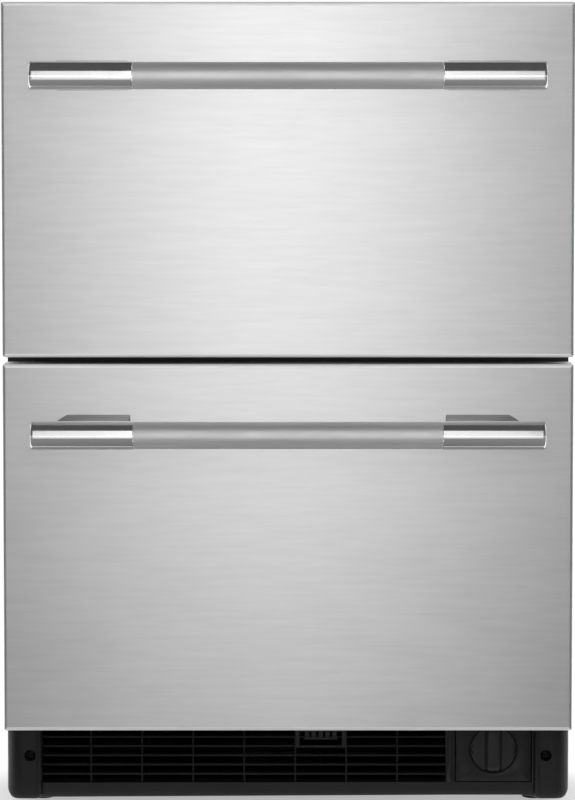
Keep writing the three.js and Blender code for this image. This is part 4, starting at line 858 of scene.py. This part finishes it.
path = base_plan()
along = np.concatenate([[0], np.cumsum(np.linalg.norm(np.diff(path, axis=0), axis=1))])
notch = sleeve_radius + access_gap
openings = [
    (vent_left, vent_right, vent_low, vent_high),
    (
        panel_low.x - access_gap, panel_high.x + access_gap,
        panel_low.z - access_gap, access_top + access_gap,
    ),
    (knob_x - notch, knob_x + notch, knob_z, 1),
]
patch = np.linspace(-screw_patch, screw_patch, 9)
wanted = np.concatenate([patch - screw_x, patch + screw_x, np.ravel([o[:2] for o in openings])])
across = np.unique(np.round(np.concatenate([along, np.interp(wanted, path[:, 0], along)]), 6))
turn = np.linspace(0, math.pi / 2, 7)
bend = base_edge_round * np.column_stack([1 - np.sin(turn), 1 - np.cos(turn)])
rows = [(base_flange, base_low)] + [(inset, base_low + rise) for inset, rise in bend]
levels = np.concatenate([patch + screw_z, np.ravel([o[2:] for o in openings]), post_rows])
rows += [(0, level) for level in np.unique(np.round(levels[levels < base_high - base_top_round], 6))]
rows += [(base_top_round * inset, base_high - base_top_round * drop) for inset, drop in eased]
rows += [(base_flange, base_high)]
points = wrapped(path, along, across, rows)
outward = np.clip((abs(points[..., 0]) - base_half + post_corner) / post_corner, 0, 1)
sag = -post_sag * np.clip((abs(points[..., 0]) - post_inside + sag_lead) / sag_width, 0, 1)
lift = sag + post_corner * (1 - np.sqrt(1 - outward**2))
points[..., 2] += lift * np.clip((post_fade - points[..., 2]) / (post_fade - base_low), 0, 1)
middle = (points[:-1, :-1] + points[1:, 1:]) / 2
keep = np.ones(middle.shape[:2], bool)
on_face = abs(middle[..., 0]) < post_inside
for left, right, bottom, top in openings:
    inside = (middle[..., 0] > left) & (middle[..., 0] < right) & (middle[..., 2] > bottom)
    keep &= ~(inside & (middle[..., 2] < top) & on_face)


def patch_lines(places, middle):
    """The two grid lines nearest to the sides of a screw's patch."""
    return [int(np.argmin(abs(places - (middle + side * screw_patch)))) for side in (-1, 1)]


heights, front_x = np.array(rows)[:, 1], points[len(turn) + 1, :, 0]
windows = [
    patch_lines(heights, screw_z) + patch_lines(front_x, middle) for middle in (-screw_x, screw_x)
]
base_plastic = black_moulding("black_moulded_base", 23)
base_plastic.colour(base_plastic.noise(9), grey(21), grey(25))
base_plastic.gloss(base_plastic.noise(26, detail=4), 0.38, 0.48)
base_form = pierced(points, keep, windows, pocket)
base_skin = piece_of("base_skin", *base_form, "base_grille", base_plastic.material, 30)
wall = base_skin.modifiers.new("wall", "SOLIDIFY")
wall.thickness, wall.offset = base_wall, -1
wall.use_even_offset = True

# ---------------------------------------------------------------- Grille
# Level louvres and thin upright ribs, moulded with the base across its vent. A small toothed catch
# is clipped on between two of the ribs.

top_louvre, louvre_pitch, louvre_count = 0.0791, 0.01002, 5
louvre_thick, louvre_deep, louvre_round = 0.0022, 0.0120, 0.0006
rib_start, rib_pitch, rib_count = -0.267, 0.0549375, 7  # the first rib is a pitch from the start
rib_thick, rib_round = 0.0020, 0.0005
grille_front = base_face + 0.0010
rib_back_off = 0.0010  # from the louvres' front
built_in = 0.001  # louvres and ribs run this far into the base
catch_wall, catch_sill = 0.0048, 0.0022
wall_round, sill_round, sill_inset, sill_back_off = 0.0008, 0.0006, 0.002, 0.001
comb_left, comb_right, comb_low = 0.0167, 0.0536, 0.0766
comb_thick, comb_back_off = 0.0022, 0.0004
tooth_count, tooth_share = 5, 0.72  # a tooth's share of their pitch
tooth_back_off, tooth_end = 0.0006, 0.001  # from the front, and from the top

grille_back = grille_front + louvre_deep
bars = []
for height in top_louvre - louvre_pitch * np.arange(louvre_count):
    low = (vent_left - built_in, grille_front, height - louvre_thick / 2)
    high = (vent_right + built_in, grille_back, height + louvre_thick / 2)
    bars.append(bar(low, high, 0, louvre_round))
for place in rib_start + rib_pitch * np.arange(1, rib_count + 1):
    low = (place - rib_thick / 2, grille_front + rib_back_off, vent_low - built_in)
    high = (place + rib_thick / 2, grille_back, vent_high + built_in)
    bars.append(bar(low, high, 2, rib_round))
grille_plastic = black_moulding("black_moulded_grille", 12, 0.50, 0.25)
grille_plastic.colour(grille_plastic.noise(12), grey(13), grey(17))
piece_of("base_louvres", *joined(bars), "base_grille", grille_plastic.material, 40)

low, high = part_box("grille_clip")
catch = [
    bar((left, low.y, low.z), (left + catch_wall, high.y, high.z), 2, wall_round)
    for left in (low.x, high.x - catch_wall)
]
for bottom in (low.z, high.z - catch_sill):
    sill_start = (low.x + sill_inset, low.y + sill_back_off, bottom)
    sill_end = (high.x - sill_inset, high.y, bottom + catch_sill)
    catch.append(bar(sill_start, sill_end, 0, sill_round))
comb_start = (comb_left, low.y + comb_back_off, comb_low)
comb_end = (comb_right, high.y, comb_low + comb_thick)
catch.append(bar(comb_start, comb_end, 0, sill_round))
pitch = (comb_right - comb_left) / tooth_count
half = pitch * tooth_share / 2
for place in comb_left + pitch * (np.arange(tooth_count) + 0.5):
    foot = (place - half, low.y + tooth_back_off, comb_low)
    tip = (place + half, high.y, high.z - tooth_end)
    catch.append(bar(foot, tip, 2, sill_round))
catch_plastic = black_moulding("black_moulded_catch", 25, grain=900)
piece_of("base_catch", *joined(catch), "grille_clip", catch_plastic.material, 40)

# ---------------------------------------------------------------- Access panel and cartridge
# A loose black plate with a round cup and a sleeve behind it. The cartridge lies in the sleeve, and
# a cap with a full-height finger grip sits flush in the cup and turns it a quarter turn.

plate_edge = 0.0005
plate_thick = 0.0022
cup_radius, cup_depth, cup_edge = 0.0248, 0.0110, 0.0006
sleeve_wall, stem_hole = 0.0012, 0.0095
grip_half, groove_width, groove_depth = 0.0070, 0.0016, 0.0022
disc_front, disc_thick, disc_edge = base_face + 0.0010, 0.0080, 0.0008
knob_more = 0.0004  # its radius is larger than the cap's by this much
stem_radius, stem_edge, stem_overlap = 0.0090, 0.0008, 0.0005
spots = [(0.1932, 0.0660), (0.2040, 0.0385), (0.2346, 0.0385)]  # the marks of ejector pins
spot_radius = 0.0010


def access_plate(front, back, edge):
    """The plate between its rectangle and the cup's circle, which cuts its top side: a round-edged
    section carried round the circle, from the one crossing under the middle to the other."""
    left, right = panel_low.x - knob_x, panel_high.x - knob_x
    bottom, top = panel_low.z - knob_z, access_top - knob_z
    cut = math.asin(top / cup_radius)
    corners = [math.atan2(z, x) for z in (bottom, top) for x in (right, left)]
    corners = [turn if turn < cut else turn - 2 * math.pi for turn in corners]
    turn = np.concatenate([np.linspace(-math.pi - cut, cut, 141), corners])
    turn = np.unique(np.round(turn, 9))[:, None]
    cosine, sine = np.cos(turn), np.sin(turn)
    across = np.where(cosine > 0, right, -left) / np.maximum(abs(cosine), 1e-9)
    up = np.where(sine > 0, top, -bottom) / np.maximum(abs(sine), 1e-9)
    width = np.maximum(np.minimum(across, up) - cup_radius, 0)
    less = np.minimum(edge, width / 2.2)
    section = [(less * a, front + edge * b) for a, b in eased]
    section += [(width - less * a, front + edge * b) for a, b in eased[::-1]]
    section += [(width, back), (0, back)]
    points = []
    for out, depth in section:
        radius = cup_radius + out
        points.append(np.hstack([knob_x + radius * cosine, depth + 0 * turn, knob_z + radius * sine]))
    points = np.array(points)
    return points.reshape(-1, 3), grid_faces(*points.shape[:2], True, False)


spotted = black_moulding("black_moulded_panel", 23, specular=0.34)
spotted.gloss(spotted.noise(26, detail=4), 0.36, 0.46)
place = spotted.add("TexCoord").outputs["Object"]
distances = []
for x, z in spots:
    step = spotted.add("VectorMath", {0: place}, operation="DISTANCE")
    step.inputs[1].default_value = (x, panel_low.y, z)
    distances.append(step.outputs["Value"])
nearest = distances[0]
for distance in distances[1:]:
    nearest = spotted.add("Math", {0: nearest, 1: distance}, operation="MINIMUM").outputs[0]
spotted.colour(nearest, grey(5), grey(23), spot_radius, spot_radius * 1.3)

face = panel_low.y
centre = (knob_x, 0, knob_z)
cup_back = base_face + cup_depth
sleeve = [(face, cup_radius), (face, sleeve_radius), (panel_high.y, sleeve_radius)]
sleeve += [(panel_high.y, cup_radius), (cup_back + sleeve_wall, cup_radius)]
cup = [(cup_back + sleeve_wall, stem_hole), (cup_back, stem_hole)]
cup += [(cup_back, cup_radius - cup_edge), (cup_back - cup_edge, cup_radius)]
parts = [access_plate(face, face + plate_thick, plate_edge), round_form(sleeve + cup, centre, 1, 96, ())]
piece_of("access_plate", *joined(parts), "access_panel", spotted.material, 32)


def knob_face():
    """Across the knob the height of its face is a section: rim, disc, groove, grip, groove, disc,
    rim. Each place of the section runs up and down as far as the circle lets it, and rounds off
    at the rim."""
    radius = cap_high.z - knob_z + knob_more
    grip_rise = disc_front - cap_low.y
    groove = grip_half + groove_width
    section = [
        (0, grip_rise), (grip_half - 0.0022, grip_rise), (grip_half - 0.0012, grip_rise - 0.0002),
        (grip_half - 0.0005, grip_rise - 0.0009), (grip_half - 0.0003, grip_rise - 0.0020),
        (grip_half, -groove_depth), (groove - 0.0002, -groove_depth),
        (groove, -0.0004), (groove + 0.0004, 0), (radius - 0.003, 0),
    ]
    turn = np.linspace(0, math.pi / 2, 6)
    section += [(radius - disc_edge * (1 - math.sin(t)), -disc_edge * (1 - math.cos(t))) for t in turn]
    section += [(radius, -disc_thick)]
    half = np.array(section)
    extra = np.linspace(groove + 0.001, radius - 0.0035, 12)
    half = np.vstack([half, np.column_stack([extra, 0 * extra])])
    half = half[np.lexsort((-half[:, 1], half[:, 0]))]
    side = np.vstack([half[::-1] * (-1, 1), half[1:]])
    reach = np.sqrt(np.maximum(radius**2 - side[:, 0] ** 2, 0))
    rows = [(reach, np.full(len(side), -disc_thick))]
    # From the rim inwards: how far and how low, in units of the edge, and the share of the grip's rise.
    ends = [(0, 1, 0), (0.3, 0.3, 0.1), (1, 0, 0.3), (2.5, 0, 0.65), (5, 0, 0.92), (8, 0, 1)]
    for inset, drop, share in ends:
        height = np.where(side[:, 1] > 0, side[:, 1] * share, side[:, 1]) - disc_edge * drop
        rows.append((reach - np.minimum(inset * disc_edge, reach), np.maximum(height, -disc_thick)))
    rows += [(reach * share, side[:, 1]) for share in (0.3, 0)]
    rows += [(-long, height) for long, height in rows[-2::-1]]
    points = [np.column_stack([knob_x + side[:, 0], disc_front - h, knob_z + r]) for r, h in rows]
    points = np.array(points)
    return points.reshape(-1, 3), grid_faces(*points.shape[:2], True, False)


stem = [(disc_front + disc_thick - stem_overlap, stem_radius), (cap_high.y - stem_edge, stem_radius)]
stem += [(cap_high.y, stem_radius - stem_edge)]
parts = [knob_face(), round_form(stem, centre, 1, 48)]
knob_plastic = black_moulding("black_moulded_knob", 32, 0.44)
knob_plastic.colour(knob_plastic.noise(15), grey(30), grey(34))
piece_of("access_knob", *joined(parts), "access_cap", knob_plastic.material, 32)

low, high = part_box("filter_cartridge")
radius, long = (high.x - low.x) / 2, high.y - low.y
cartridge_edge, ring_groove_depth = 0.003, 0.0009
ring_grooves = [0.012, 0.016, long - 0.020]
turn = np.linspace(0, math.pi / 2, 7)
edge = [(cartridge_edge * (1 - math.cos(t)), radius - cartridge_edge * (1 - math.sin(t))) for t in turn]
body = list(edge)
root = radius - ring_groove_depth
for start in ring_grooves:
    body += [(start, radius), (start + 0.0004, root), (start + 0.0012, root), (start + 0.0016, radius)]
body += [(long - place, r) for place, r in edge[::-1]]
body = [(low.y + place, r) for place, r in body]
piece_of("cartridge_body", *round_form(body, centre, 1, 72), "filter_cartridge", white_plastic, 40)

# ---------------------------------------------------------------- Base screws
# Blackened pan-head screws with a hexagon socket, one at the bottom of the pocket in each post.

screw_plate = Finish("blackened_screw", grey(30), 0.45, 0.6)
screw_plate.colour(screw_plate.noise(300, detail=3), grey(24), grey(38))
socket_reach, socket_depth = 0.0016, 0.0018
head_rise, head_back = 0.00408, 0.00288  # the dome's whole rise, and the head's underside
shank_radius, thread_pitch, thread_depth = 0.0020, 0.0012, 0.0003
tip_length = 0.004


def hexagon(reach, turn):
    """The radius of a hexagon at each angle, from that of its corners."""
    return reach * math.cos(math.pi / 6) / np.cos(turn % (math.pi / 3) - math.pi / 6)


def socket_screw(side, sides=48):
    """Places and radii turned round the screw's axis. Inside the socket the radius is that of a
    hexagon at each angle, and along the shank it waves with the thread."""
    low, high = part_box(f"grille_screw_{side}")
    head, long = (high.x - low.x) / 2, high.y - low.y
    turn = np.linspace(0, 2 * math.pi, sides, endpoint=False)
    socket = hexagon(socket_reach, turn)
    dome = np.linspace(math.radians(35), math.pi / 2, 7)
    rows = [(socket_depth, socket * 0.02), (socket_depth, socket), (0.00005, socket), (0, socket * 1.12)]
    rows += [(head_rise * (1 - math.cos(t - dome[0])), head * math.sin(t)) for t in dome]
    rows += [(head_back, head), (head_back, shank_radius)]
    for place in np.linspace(head_back + 0.001, long - tip_length, 96):
        wave = 0.5 + 0.5 * np.cos(place / thread_pitch * 2 * math.pi + turn)
        rows.append((place, shank_radius - thread_depth * wave))
    rows += [(long, 0.0002)]
    centre = ((low.x + high.x) / 2, 0, (low.z + high.z) / 2)
    form = round_form([(low.y + place, r) for place, r in rows], centre, 1, sides)
    piece_of(f"base_screw_{side}", *form, f"grille_screw_{side}", screw_plate.material)


socket_screw("left")
socket_screw("right")

# ---------------------------------------------------------------- Levelling legs
# Four moulded feet on threaded shanks, screwed up into the pan: a flat pad, a hexagon for the
# spanner, and the thread above it.

leg_plastic = Finish("black_moulded_leg", grey(16), 0.50, Specular_IOR_Level=0.36)
leg_plastic.colour(leg_plastic.noise(30), grey(13), grey(19))
leg_plastic.relief(leg_plastic.noise(600, detail=3), 0.00006, 0.5)
pad_radius, pad_height, pad_edge = 0.0125, 0.0035, 0.0008
spanner_reach, spanner_top = 0.0098, 0.0135
thread_radius, thread_lead, thread_height = 0.0049, 0.0020, 0.0007


def levelling_leg(node, sides=48):
    """Heights and radii turned round an upright axis. Over the hexagon's height the radius is that
    of a hexagon at each angle, and above it the radius rises and falls along a helix."""
    low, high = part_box(node)
    top = high.z - low.z
    turn = np.linspace(0, 2 * math.pi, sides, endpoint=False)
    spanner = hexagon(spanner_reach, turn)
    rows = [(0, pad_radius - 0.001), (0.0003, pad_radius - 0.0003), (0.001, pad_radius)]
    rows += [(pad_height - pad_edge, pad_radius), (pad_height, pad_radius - pad_edge)]
    rows += [(pad_height, spanner), (spanner_top - pad_edge, spanner), (spanner_top, spanner * 0.9)]
    rows += [(spanner_top, thread_radius)]
    for height in np.arange(spanner_top + pad_edge, top - 0.002, thread_lead / 6):
        wave = 0.5 + 0.5 * np.cos(height / thread_lead * 2 * math.pi - turn)
        rows.append((height, thread_radius - thread_height * wave))
    rows += [(top - 0.001, thread_radius * 0.85), (top, thread_radius * 0.75)]
    form = round_form([(low.z + height, r) for height, r in rows], (low + high) / 2, 2, sides)
    piece_of(node + "_finished", *form, node, leg_plastic.material, 40)


for side in ("left", "right"):
    for end in ("front", "rear"):
        levelling_leg(f"{end}_{side}_leg")
